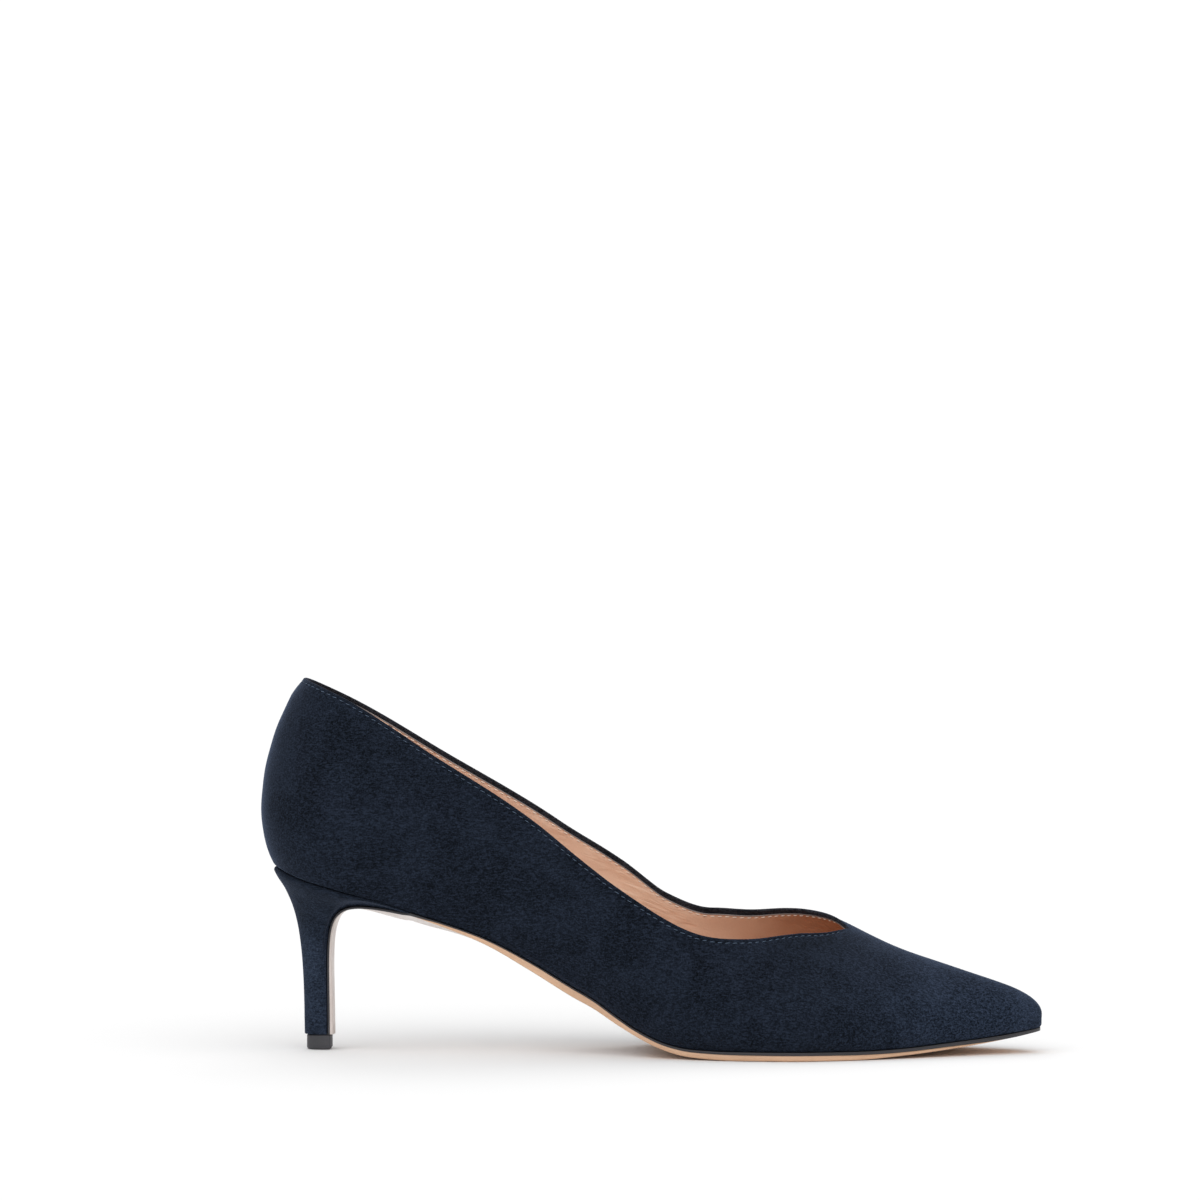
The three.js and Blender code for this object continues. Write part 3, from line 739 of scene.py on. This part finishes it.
def heel_side(side):
    """The shares of the way round the heel and the strings there, on a side."""
    around = np.concatenate([np.linspace(0, ROUND, 31)[:-1], np.linspace(ROUND, 1, 25)])
    return around, heel_strings(side, around, HEEL_ROWS)


def heel_skin():
    """Both sides of the heel in one skin round the back, with rounded front corners. The second item is
    the round of its top edge, by column."""
    halves = []
    for side in (-1, 1):
        around, strings = heel_side(side)
        corner = strings[-1]
        out = front_of(corner)
        away = np.linalg.norm(corner - corner[-1], axis=-1)
        radius = 0.5 * rise(away, 0, 9)[:, None]
        drawn = heel_turn(around)[1]
        strings = strings - out[None] * radius[None] * drawn[:, None, None]
        turn = np.linspace(0, QUARTER, 6)[1:, None, None]
        sideways = np.array([0, side, 0.0])
        rounded = corner + radius * (sideways * (np.cos(turn) - 1) + out * (np.sin(turn) - 1))
        halves.append(np.concatenate([strings, rounded], axis=0))
    soft = np.concatenate([mix(HEEL_EDGE, FRONT_EDGE, rise(drawn, 0, 0.6)), np.full(len(turn), FRONT_EDGE)])
    soft = np.concatenate([soft[::-1], soft[1:]])[:, None]
    return np.concatenate([halves[0][::-1], halves[1][1:]], axis=0), soft


def block_faces(columns, rows):
    """The quads of a block whose skin runs round three sides: the skin, a strip from its last column to
    its first one, and rungs between matching columns at the foot and on top."""
    faces = [grid_quads(columns, rows)]
    r = np.arange(rows - 1)
    far = (columns - 1) * rows
    faces.append(np.stack([far + r, r, r + 1, far + r + 1], axis=-1))
    c = np.arange(columns // 2)
    mate = columns - 1 - c
    for row, order in ((0, 1), (rows - 1, -1)):
        rungs = np.stack([c, mate, mate - 1, c + 1], axis=-1) * rows + row
        faces.append(rungs[:, ::order])
    return np.concatenate(faces)


def heel_block():
    """The covered heel: its skin with a rounded top edge, set down a little where the edge is round, and
    with a small round at its foot."""
    skin, soft = heel_skin()
    up = np.array([0, 0, 1.0])
    room = 0.27 * (soft - FRONT_EDGE) / (HEEL_EDGE - FRONT_EDGE)
    top = skin[:, -1] - up * room
    middle = np.stack([top[:, 0].clip(HEEL_AXIS, None), 0 * top[:, 1], top[:, 2]], axis=-1)
    inward = unit(middle - top)
    edge = [top + soft * (inward * (1 - math.cos(a)) + up * (math.sin(a) - 1))
            for a in np.linspace(0, QUARTER, 7)]
    foot = skin[:, 0]
    centre = np.array([STEM["back"] + STEM_DEPTH / 2, 0, 0])
    drawn_in = unit((centre - foot) * [1, 1, 0])
    heel_foot = [foot + drawn_in * 0.25, foot + drawn_in * 0.07 + [0, 0, 0.07]]
    body = skin[:, 1:-1] - up * (soft + room)[:, None] * rise(HEEL_ROWS, 0.75, 1)[None, 1:-1, None]
    points = np.concatenate([np.stack(heel_foot, axis=1), body, np.stack(edge, axis=1)], axis=1)
    return points.reshape(-1, 3), block_faces(*points.shape[:2])


def sole_rings():
    """The sole's rings from the toe tip up the waist to the wings, then down the heel's front. A ring is
    its two edge points, its direction and thickness, its belly and how far its edges may be set in."""
    xs = foot_stations(*STATIONS)
    xs = np.append(xs[xs > WING_END + 0.4][::-1], WING_END)
    ordered = xs[::-1]
    ends = []
    for side in (-1, 1):
        x, y = feather_line(side, ordered, mix(LIP, TOE_FILL - 0.05, at_toe(ordered)))
        ends.append(stack(x, y, seat_height(x) - GAP)[::-1])
    depth = seat_height(xs) - GAP - underside_height(xs)
    lean = np.clip((0.24 * LENGTH - xs) / (0.24 * LENGTH - WING_END), 0, 1)
    fall = stack(-0.3 * lean * depth, 0, -depth)
    waist = np.clip((0.53 * LENGTH - xs) / (0.1 * LENGTH), 0, 1)
    width = ends[1][:, 1] - ends[0][:, 1]
    squeeze = np.clip((width - 1) / 12, 0, 1)
    share = xs / LENGTH
    painted = read(SOLE_LAYERS, "painted", share)
    inset = read(SOLE_LAYERS, "inset", share)
    corners = [heel_side(side)[1][-1] for side in (-1, 1)]
    out = front_of(corners[0])
    rows = np.arange(len(HEEL_ROWS) - 3, -1, -1)
    place = rows / (len(HEEL_ROWS) - 1)
    cover = mix(BREAST_COVER, WING_COVER, np.clip(place * 1.5, 0, 1))
    ends = [np.concatenate([end, (corner + out * GAP)[rows]]) for end, corner in zip(ends, corners)]
    fall = np.concatenate([fall, out[rows] * cover[:, None]])
    hang = waist * mix(3.0, 1.3, rise(share, 0.20, 0.28))
    belly = np.concatenate([hang, mix(0.25, 3.0, rise(place, 0.6, 1.0))])
    squeeze = np.concatenate([squeeze, np.ones(len(rows))])
    wing = rise(place, 0.42, 0.55)
    painted = np.concatenate([painted, mix(0.62, WING_COVER + 0.1, wing)])
    inset = np.concatenate([inset, mix(0.20, 2.0, wing)])
    fill = np.concatenate([np.full(len(xs), 0.15), np.full(len(rows), 0.28)])
    return ends[0], ends[1], fall, belly, squeeze, painted, inset, fill


def sole_layer(profile, belly_cells):
    """One layer of the sole: at each ring, the profile's insets and depths down the outer edge, across the
    bottom, and up the inner edge. The bottom swells by the belly as a parabola across it."""
    outer, inner, fall, belly, squeeze, painted, inset, fill = sole_rings()
    thick = np.linalg.norm(fall, axis=-1)
    down = unit(fall)
    width = np.linalg.norm(inner - outer, axis=-1)
    across = unit(inner - outer)
    insets, depths = profile(painted, thick, inset, fill)
    insets = np.minimum(insets * squeeze[:, None], 0.45 * width[:, None])
    share = np.linspace(0, 1, belly_cells + 1)[1:-1]
    edge_out = outer[:, None] + across[:, None] * insets[..., None] + down[:, None] * depths[..., None]
    edge_in = inner[:, None] - across[:, None] * insets[..., None] + down[:, None] * depths[..., None]
    bottom = mix(edge_out[:, -1:], edge_in[:, -1:], share[None, :, None])
    swell = belly[:, None] * 4 * share * (1 - share) if belly_cells > 4 else 0 * belly[:, None] * share
    bottom = bottom + down[:, None] * swell[..., None]
    top = mix(edge_in[:, :1], edge_out[:, :1], np.array([0.25, 0.5, 0.75])[None, :, None])
    points = np.concatenate([edge_out, bottom, edge_in[:, ::-1], top], axis=1)
    loop = points.shape[1]
    faces = grid_quads(len(points), loop, loop=True)
    ring, row = faces[:, 0] // loop, faces[:, 0] % loop
    edge_rows = insets.shape[1] - 2
    bottom = (row >= edge_rows) & (row < edge_rows + belly_cells + 2)
    waist = outer[:, 0] < 0.50 * LENGTH
    breast = np.arange(len(points)) >= len(points) - len(HEEL_ROWS) + 2
    # The waist's bottom and the heel's front take the pale leather, paler with painted light from the white
    # floor.
    return points.reshape(-1, 3), faces, loop, (bottom & waist[ring]) | breast[ring]


def painted_profile(painted, thick, inset, fill):
    """Down the painted edge, with small rounds at its top and bottom. Inside its rim it rises into the
    gap above."""
    zero = 0 * painted
    insets = np.array([1.9, 1.7, 0.16, 0.04, 0, 0, 0.05, 0.18, 1.1]) + zero[:, None]
    depths = np.stack([-fill, zero, zero, zero + 0.05, zero + 0.16, painted - 0.14, painted - 0.04, painted,
                       painted], axis=-1)
    return insets, depths


def tan_profile(painted, thick, inset, fill):
    """Down the tan edge, square under the paint and rounded over at the floor."""
    room = np.maximum(thick - painted, 0.12)
    top = thick - room
    small = np.minimum(room / 1.2, 1)
    insets = np.stack([inset + 0.6, inset + 0.06, inset, inset, inset + 0.08 * small, inset + 0.24 * small,
                       inset + 0.50 * small, inset + 0.95 * small], axis=-1)
    depths = np.stack([top, top, top + 0.05, thick - 0.42 * small - 0.02, thick - 0.24 * small,
                       thick - 0.10 * small, thick - 0.03 * small, thick], axis=-1)
    return insets, depths


def sock():
    """The sock on its insole: a slab along the foot with a softly rounded, slightly cupped top."""
    xs = foot_stations(20, 110, 14)
    lines = [np.stack(feather_line(side, xs, -(WALL + 0.12)), axis=-1) for side in (-1, 1)]
    v = np.array([0, 0.004, 0.012, 0.03, 0.07, 0.14, 0.25, 0.38, 0.5,
                  0.62, 0.75, 0.86, 0.93, 0.97, 0.988, 0.996, 1])
    x = mix(lines[0][:, :1], lines[1][:, :1], v)
    y = mix(lines[0][:, 1:], lines[1][:, 1:], v)
    width = (lines[1][:, 1] - lines[0][:, 1])[:, None]
    edge = np.minimum(v, 1 - v) * width
    level = seat_height(x)
    round_over = 0.5 * (1 - np.sqrt(np.clip(1 - (1 - np.clip(edge / 0.7, 0, 1)) ** 2, 0, 1)))
    cup = 0.45 * bump_at(edge, 0, 3.0)
    top = stack(x, y, level + INSOLE_THICKNESS + cup - round_over)
    low = stack(x, y, level + 0.35)[:, ::-1]
    points = np.concatenate([top, low], axis=1)
    return points.reshape(-1, 3), grid_quads(len(xs), points.shape[1], loop=True), points.shape[1]


def heel_tip():
    """The rubber tip: the stem's section in loops up from the floor, with a rounded lower edge, a small
    bevel on top and a neck that goes up into the heel."""
    heights = np.append([0, 0.02, 0.10, 0.28, 0.60, 1.2], TIP_HEIGHT + np.array([-0.4, -0.12, 0, 0.02, 0.5]))
    insets = np.array([0.95, 0.62, 0.30, 0.10, 0.0, 0.0, 0.0, 0.04, 0.18, 0.75, 0.75])
    soft = 0.45
    straight = 1 - soft / (TOP_PIECE["depth"] - TOP_PIECE["half"] - 1.0)
    around = np.concatenate([np.linspace(0, ROUND, 24)[:-1], np.linspace(ROUND, mix(ROUND, 1, straight), 12)])
    loops = []
    for z, inset in zip(heights, insets):
        shape = {"back": TOP_PIECE["back"] + inset, "depth": TOP_PIECE["depth"] - 2 * inset,
                 "half": TOP_PIECE["half"] - inset}
        outer = stem_point(shape, -1, around, z)
        inner = stem_point(shape, 1, around, z)[1:]
        front = shape["back"] + shape["depth"]
        turn = np.linspace(0, QUARTER, 6)[1:]
        corner = stack(front - soft + soft * np.sin(turn), shape["half"] - soft + soft * np.cos(turn), z)
        loops.append(np.concatenate([outer[::-1], inner, corner, corner[::-1] * [1, -1, 1]]))
    points = np.stack(loops)
    rows = points.shape[1]
    faces = grid_quads(len(points), rows, loop=True)
    return points.reshape(-1, 3), faces, rows


def capped(points, faces, loop, *edging):
    """The faces with both end loops of the grid closed."""
    ends = [list(range(loop))[::-1], list(range(len(points) - loop, len(points)))]
    edging = [np.append(mask, [mask[0], mask[-1]]) for mask in edging]
    return points, [*np.asarray(faces).tolist(), *ends], *edging


def piece(name, shape, material, stands_for=(), edge=None):
    """A finished object of a shape in the maker's frame, in place, riding on the shoe's one body. A shape
    may end with the faces that take the edge's material."""
    points, faces, *edging = shape
    mesh = bpy.data.meshes.new(name)
    places = (np.asarray(points) + SHIFT) / 1000
    faces = faces.tolist() if isinstance(faces, np.ndarray) else faces
    mesh.from_pydata(places.tolist(), [], faces)
    mesh.materials.append(material)
    if edging:
        mesh.materials.append(edge)
        mesh.polygons.foreach_set("material_index", edging[0].astype(np.int32))
    work = bmesh.new()
    work.from_mesh(mesh)
    bmesh.ops.remove_doubles(work, verts=work.verts, dist=2e-6)
    bmesh.ops.dissolve_degenerate(work, edges=work.edges, dist=1e-6)
    if work.calc_volume(signed=True) < 0:
        bmesh.ops.reverse_faces(work, faces=work.faces)
    work.to_mesh(mesh)
    work.free()
    mesh.polygons.foreach_set("use_smooth", np.ones(len(mesh.polygons), bool))
    made = bpy.data.objects.new(name, mesh)
    bpy.context.scene.collection.objects.link(made)
    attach(made, "root")
    if stands_for:
        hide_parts(*stands_for)
    return made


def wire(tree, made, inputs):
    """Sets a node's inputs. Each is a value, or another node's output to link."""
    for name, value in inputs.items():
        if isinstance(value, bpy.types.NodeSocket):
            tree.links.new(value, made.inputs[name])
        else:
            made.inputs[name].default_value = value


def node(tree, kind, inputs=None, **settings):
    """A new node with its settings and its inputs."""
    made = tree.nodes.new(kind)
    for name, value in settings.items():
        setattr(made, name, value)
    wire(tree, made, inputs or {})
    return made


def group(name, inputs, outputs):
    """An empty shader group: its tree, the sockets it is given and its outputs' node. An input may name its
    usual value."""
    tree = bpy.data.node_groups.new(name, "ShaderNodeTree")
    for label, kind, *usual in inputs:
        socket = tree.interface.new_socket(label, in_out="INPUT", socket_type="NodeSocket" + kind)
        if usual:
            socket.default_value = usual[0]
    for label, kind in outputs:
        tree.interface.new_socket(label, in_out="OUTPUT", socket_type="NodeSocket" + kind)
    return tree, tree.nodes.new("NodeGroupInput").outputs, tree.nodes.new("NodeGroupOutput")


def blend_colour(tree, factor, a, b, mode="MIX"):
    """Two colours, mixed or multiplied by a factor."""
    return node(tree, "ShaderNodeMix", {0: factor, 6: a, 7: b}, data_type="RGBA", blend_type=mode).outputs[2]


def maths(tree, operation, a, b):
    """A sum of two numbers."""
    return node(tree, "ShaderNodeMath", {0: a, 1: b}, operation=operation).outputs[0]


def weighed(tree, *pairs):
    """The total of values, each times its weight."""
    parts = [maths(tree, "MULTIPLY", value, weight) for value, weight in pairs]
    total = parts[0]
    for part in parts[1:]:
        total = maths(tree, "ADD", total, part)
    return total


def ranged(tree, value, low, high, to_low=0.0, to_high=1.0, smooth=True):
    """The value's place between low and high, as a number between two others, by a smooth S or evenly."""
    kind = "SMOOTHSTEP" if smooth else "LINEAR"
    ends = {"From Min": low, "From Max": high, "To Min": to_low, "To Max": to_high}
    return node(tree, "ShaderNodeMapRange", {"Value": value, **ends}, interpolation_type=kind).outputs[0]


def noise(tree, vector, scale, detail, roughness=0.5, distortion=0.0):
    """Noise from 0 to 1, coarse forms with finer ones on them."""
    return node(tree, "ShaderNodeTexNoise", {"Vector": vector, "Scale": scale, "Detail": detail,
                                             "Roughness": roughness, "Distortion": distortion}).outputs[0]


def linear(red, green, blue):
    """A colour given in screen values from 0 to 255, as the shader's linear numbers."""
    values = np.array([red, green, blue]) / 255
    low = values / 12.92
    high = ((values + 0.055) / 1.055) ** 2.4
    return (*np.where(values <= 0.04045, low, high).tolist(), 1.0)


def nap_group():
    """Suede: fibres lying in brushed strokes, in darker and lighter patches, over a fine grain. Size is a
    fibre's width and Patch the patches' width, in millimetres."""
    tree, at, out = group(
        "nap",
        [("Vector", "Vector"), ("Dark", "Color"), ("Light", "Color"), ("Size", "Float", 0.5),
         ("Patch", "Float"), ("Contrast", "Float")],
        [("Color", "Color"), ("Height", "Float"), ("Roughness", "Float")])
    fine = maths(tree, "DIVIDE", 1.0, at["Size"])
    wide = maths(tree, "DIVIDE", 1.0, at["Patch"])
    brushed = node(tree, "ShaderNodeMapping", {"Vector": at["Vector"], "Rotation": (0.3, 0.65, 0.2),
                                               "Scale": (0.32, 1.0, 1.0)})
    strokes = noise(tree, brushed.outputs[0], fine, 3.0, 0.6, 0.6)
    grain = noise(tree, at["Vector"], fine, 4.0, 0.7)
    patches = noise(tree, at["Vector"], wide, 3.0, 0.55, 0.8)
    specks = ranged(tree, grain, 0.44, 0.60)
    streaks = ranged(tree, strokes, 0.44, 0.60)
    lying = ranged(tree, patches, 0.38, 0.66)
    raised = weighed(tree, (specks, 0.41), (streaks, 0.41), (lying, 0.18))
    raised = maths(tree, "MULTIPLY", raised, at["Contrast"])
    wire(tree, out, {
        "Color": blend_colour(tree, raised, at["Dark"], at["Light"]),
        "Height": weighed(tree, (grain, 0.6), (strokes, 0.5)),
        "Roughness": ranged(tree, raised, 0, 1, 0.98, 0.84),
    })
    return tree


def grain_group():
    """Smooth leather: small cells with creases between them, fine pores and a slow change of colour. Size
    is a cell's width and Patch the change's width, in millimetres. A small Stretch draws the cells out
    along the foot."""
    tree, at, out = group(
        "leather_grain",
        [("Vector", "Vector"), ("Base", "Color"), ("Deep", "Color"), ("Size", "Float"),
         ("Patch", "Float", 14.0), ("Stretch", "Float")],
        [("Color", "Color"), ("Height", "Float"), ("Mask", "Float")])
    fine = maths(tree, "DIVIDE", 1.0, at["Size"])
    wide = maths(tree, "DIVIDE", 1.0, at["Patch"])
    drawn = node(tree, "ShaderNodeCombineXYZ", {0: at["Stretch"], 1: 1.0, 2: 1.0}).outputs[0]
    laid = node(tree, "ShaderNodeVectorMath", {0: at["Vector"], 1: drawn}, operation="MULTIPLY").outputs[0]
    cells = node(tree, "ShaderNodeTexVoronoi", {"Vector": laid, "Scale": fine}, feature="SMOOTH_F1")
    pores = noise(tree, laid, fine, 5.0, 0.65)
    cloud = noise(tree, at["Vector"], wide, 3.0)
    mask = weighed(tree, (ranged(tree, cloud, 0.3, 0.7), 0.6), (ranged(tree, pores, 0.35, 0.75), 0.4))
    wire(tree, out, {
        "Color": blend_colour(tree, mask, at["Base"], at["Deep"]),
        "Height": weighed(tree, (cells.outputs[0], 0.7), (pores, 1.0)),
        "Mask": mask,
    })
    return tree


def wrinkle_group():
    """Soft wrinkles in a sheet: long folds laid across one direction, faint in most places. Size is a fold's
    width in millimetres and Turn the slant of the folds."""
    tree, at, out = group("wrinkles", [("Vector", "Vector"), ("Size", "Float"), ("Turn", "Float")],
                          [("Height", "Float")])
    turned = node(tree, "ShaderNodeVectorRotate", {"Vector": at["Vector"], "Angle": at["Turn"]},
                  rotation_type="Y_AXIS")
    laid = node(tree, "ShaderNodeMapping", {"Vector": turned.outputs[0], "Scale": (0.22, 0.6, 1.0)})
    folds = noise(tree, laid.outputs[0], maths(tree, "DIVIDE", 1.0, at["Size"]), 2.0, distortion=0.5)
    faint = ranged(tree, noise(tree, at["Vector"], 0.06, 2.0), 0.40, 0.60)
    wire(tree, out, {"Height": maths(tree, "MULTIPLY", folds, faint)})
    return tree


NAP = nap_group()
GRAIN = grain_group()
WRINKLES = wrinkle_group()


def new_material(name):
    """A material with a plain Principled shader and its Object coordinates in millimetres."""
    made = bpy.data.materials.new(name)
    made.use_nodes = True
    tree = made.node_tree
    place = node(tree, "ShaderNodeTexCoord").outputs["Object"]
    scaled = node(tree, "ShaderNodeVectorMath", {0: place, "Scale": 1000.0}, operation="SCALE")
    return made, tree, tree.nodes["Principled BSDF"], scaled.outputs[0]


def bump(tree, height, strength, depth):
    """A bump from a height, of the given strength and its depth in millimetres."""
    return node(tree, "ShaderNodeBump", {"Height": height, "Strength": strength, "Distance": depth / 1000})


def suede_material(name, dark, light, patch, contrast, sheen, axis, *lighter):
    """Suede whose colour is multiplied by a factor that changes along an axis: painted light, standing in for
    the sheen and light that the toe and the heel's stem catch.
    The last four are two places along it, in millimetres from the shoe's middle or the floor, and the factor
    of the colour at each."""
    made, tree, shader, place = new_material(name)
    nap = node(tree, "ShaderNodeGroup", {"Vector": place, "Dark": linear(*dark), "Light": linear(*light),
                                         "Patch": patch, "Contrast": contrast}, node_tree=NAP).outputs
    along = node(tree, "ShaderNodeSeparateXYZ", {0: place}).outputs[axis]
    wire(tree, shader, {
        # The factor along the axis is painted light on the suede.
        "Base Color": blend_colour(tree, 1.0, nap["Color"], ranged(tree, along, *lighter), "MULTIPLY"),
        "Roughness": nap["Roughness"],
        "Normal": bump(tree, nap["Height"], 0.7, 0.28).outputs[0],
        "Specular IOR Level": 0.12,
        "Sheen Weight": sheen,
        "Sheen Roughness": 0.32,
        "Sheen Tint": linear(140, 160, 198),
    })
    return made


def leather_material(name, base, deep, size, stretch, roughness, coat, depth):
    """Leather, edge paint or rubber with a grain, whose roughness varies a little with its colour. With
    it come its tree, shader and coordinates."""
    made, tree, shader, place = new_material(name)
    grain = node(tree, "ShaderNodeGroup", {"Vector": place, "Base": linear(*base), "Deep": linear(*deep),
                                           "Size": size, "Stretch": stretch}, node_tree=GRAIN).outputs
    wire(tree, shader, {
        "Base Color": grain["Color"],
        "Roughness": ranged(tree, grain["Mask"], 0, 1, roughness - 0.06, roughness + 0.08),
        "Normal": bump(tree, grain["Height"], 0.5, depth).outputs[0],
        "Coat Weight": coat,
        "Coat Roughness": 0.25,
    })
    return made, tree, shader, place


def lining_material():
    """Lining leather with soft folds, with painted shade at the heel and towards the toe, where less light
    reaches inside the shoe.
    """
    made, tree, shader, place = leather_material(
        "lining_leather", (250, 216, 189), (240, 199, 170), 0.5, 1.0, 0.46, 0.0, 0.05)
    plain = {name: shader.inputs[name].links[0].from_socket for name in ("Base Color", "Normal")}
    along = node(tree, "ShaderNodeSeparateXYZ", {0: place}).outputs["X"]
    # Painted shade: the lining's colour is darkened towards the heel and the toe.
    painted_shade = node(tree, "ShaderNodeValToRGB", {"Fac": ranged(tree, along, *LINING_SPAN, smooth=False)})
    stops = painted_shade.color_ramp.elements
    for share, colour in LINING_PAINTED_SHADE:
        stops.new(share).color = linear(*colour)
    stops.remove(stops[0])
    stops.remove(stops[-1])
    folds = node(tree, "ShaderNodeGroup", {"Vector": place, "Size": 2.5, "Turn": -0.35}, node_tree=WRINKLES)
    creased = bump(tree, folds.outputs["Height"], 0.62, 1.1)
    wire(tree, creased, {"Normal": plain["Normal"]})
    wire(tree, shader, {
        "Base Color": blend_colour(tree, 1.0, plain["Base Color"], painted_shade.outputs["Color"], "MULTIPLY"),
        "Normal": creased.outputs[0],
    })
    return made


def thread_material(name, colour, shade):
    """Twisted thread: fine slanting bands of light and shade."""
    made, tree, shader, place = new_material(name)
    bands = node(tree, "ShaderNodeTexWave", {"Vector": place, "Scale": 2.2, "Distortion": 1.0, "Detail": 1.0},
                 bands_direction="DIAGONAL").outputs["Fac"]
    wire(tree, shader, {
        "Base Color": blend_colour(tree, bands, linear(*shade), linear(*colour)),
        "Roughness": 0.55,
        "Normal": bump(tree, bands, 0.4, 0.05).outputs[0],
    })
    return made


# Base and deep colours, the grain's size and stretch, the roughness, the coat and the grain's depth.
LEATHERS = {
    "grip_leather": ((232, 200, 174), (218, 182, 156), 0.5, 1.0, 0.6, 0.0, 0.06),
    "grip_edge": ((134, 100, 82), (118, 86, 70), 0.4, 1.0, 0.7, 0.0, 0.03),
    "sock_leather": ((206, 156, 124), (188, 136, 106), 0.55, 1.0, 0.48, 0.0, 0.05),
    "edge_paint": ((40, 39, 43), (52, 50, 55), 0.8, 0.3, 0.42, 0.12, 0.04),
    "sole_leather": ((226, 184, 150), (208, 166, 132), 0.4, 0.25, 0.34, 0.35, 0.03),
    # Pale leather on the sole's bottom and the heel's front: its bare colour, made paler still by painted
    # light from the white floor.
    "pale_sole_and_floor_light": ((226, 215, 209), (214, 201, 194), 0.5, 0.3, 0.4, 0.2, 0.03),
    "tip_rubber": ((56, 56, 60), (72, 71, 76), 0.3, 1.0, 0.55, 0.0, 0.04),
    "cut_edge": ((150, 140, 136), (120, 110, 108), 0.3, 1.0, 0.6, 0.0, 0.03),
}
leather = {name: leather_material(name, *look)[0] for name, look in LEATHERS.items()}
lining_leather = lining_material()
# The upper's nap is painted lighter towards the toe, up to 2.1 times: painted light and sheen that the toe
# catches.
suede = suede_material("upper_suede", (3, 7, 14), (47, 57, 75), 18.0, 0.66, 0.45,
                       "X", 48.0, 112.0, 1.0, 2.1)
# A greyer, lighter suede on the fold and its inner face: the grey is the turned suede's own, the lightness is
# painted light on a fold that lies in shade.
turned_suede_painted_light = suede_material("turned_suede_painted_light", (16, 17, 21), (66, 68, 76), 9.0, 0.8, 0.3,
                              "X", 0.0, 100.0, 1.0, 1.0)
# The heel's suede is painted lighter low on the stem, up to 1.75 times, fading out by its top: painted light
# on the stem.
heel_suede = suede_material("heel_suede", (14, 20, 29), (56, 67, 86), 9.0, 0.52, 0.22,
                            "Z", 26.0, 48.0, 1.75, 1.0)
outer_thread = thread_material("outer_thread", (84, 104, 128), (30, 42, 60))
lining_thread = thread_material("lining_thread", (255, 246, 236), (236, 216, 198))

outer_row = stitches(seam_below(), 0.14, 0.10, 1, 0.13)
inner_row = stitches(lining_drop() + LINING_SEAM_BELOW, LINING_FACE - 0.06, 0.06, -1, 0.17)
painted_layer = sole_layer(painted_profile, 4)[:3]
tan_layer = sole_layer(tan_profile, 14)

piece("upper_suede", suede_shell(), suede, ["upper"], edge=turned_suede_painted_light)
piece("lining", lining_shell(), lining_leather, edge=leather["cut_edge"])
piece("heel_grip", capped(*heel_grip()), leather["grip_leather"], edge=leather["grip_edge"])
piece("topline_stitches", outer_row, outer_thread)
piece("lining_stitches", inner_row, lining_thread)
piece("heel_cover", heel_block(), heel_suede, ["heel"])
piece("sole_painted_edge", capped(*painted_layer), leather["edge_paint"])
piece("sole_leather", capped(*tan_layer), leather["sole_leather"], ["outsole"],
      edge=leather["pale_sole_and_floor_light"])
piece("sock", capped(*sock()), leather["sock_leather"], ["insole"])
piece("tip", capped(*heel_tip()), leather["tip_rubber"], ["heel_tip"])


def studio_floor():
    """A plain white floor, large enough to reach the horizon."""
    made = bpy.data.materials.new("floor")
    made.use_nodes = True
    wire(made.node_tree, made.node_tree.nodes["Principled BSDF"], {
        "Base Color": (0.95, 0.95, 0.95, 1),
        "Roughness": 1.0,
        "Specular IOR Level": 0.0,
    })
    mesh = bpy.data.meshes.new("floor")
    half, level = 40.0, -1e-4
    corners = [(-half, -half, level), (half, -half, level), (half, half, level), (-half, half, level)]
    mesh.from_pydata(corners, [], [(0, 1, 2, 3)])
    mesh.materials.append(made)
    floor = bpy.data.objects.new("floor", mesh)
    bpy.context.scene.collection.objects.link(floor)


def soft_sun(name, light, turn, angle):
    """A distant light as broad as its angle, turned about X and leant a little about Y, that gives the floor
    about the given light. Both angles are in degrees."""
    turn = math.radians(turn)
    lamp = bpy.data.lights.new(name, "SUN")
    lamp.energy = light * math.pi / math.cos(turn)
    lamp.angle = math.radians(angle)
    made = bpy.data.objects.new(name, lamp)
    made.rotation_euler = (turn, math.radians(-6), 0)
    bpy.context.scene.collection.objects.link(made)


def studio():
    """A bright even room, seen white behind the shoe, with a broad soft light from above and in front and a
    weaker, smaller one from above and behind."""
    world = bpy.data.worlds.new("studio")
    world.use_nodes = True
    tree = world.node_tree
    seen = node(tree, "ShaderNodeLightPath").outputs["Is Camera Ray"]
    strength = ranged(tree, seen, 0.0, 1.0, ROOM_LIGHT, BACKDROP)
    wire(tree, tree.nodes["Background"], {"Color": (1, 1, 1, 1), "Strength": strength})
    bpy.context.scene.world = world
    soft_sun("back_light", BACK_LIGHT, -38, 40)
    soft_sun("front_light", FRONT_LIGHT, 27, 95)
    bpy.context.scene.view_settings.view_transform = "Standard"


def photo_camera():
    """A level camera at the photograph's angle and distance."""
    lens = bpy.data.cameras.new("camera")
    lens.lens = LENS
    lens.sensor_width = 36.0
    lens.clip_end = 100.0
    made = bpy.data.objects.new("camera", lens)
    place = np.array([CAMERA_PIVOT + CAMERA_DISTANCE * math.sin(CAMERA_TURN),
                      -CAMERA_DISTANCE * math.cos(CAMERA_TURN), CAMERA_HEIGHT])
    made.location = (place + SHIFT) / 1000
    made.rotation_euler = (QUARTER, 0, CAMERA_TURN)
    bpy.context.scene.collection.objects.link(made)
    bpy.context.scene.camera = made


studio_floor()
studio()
photo_camera()
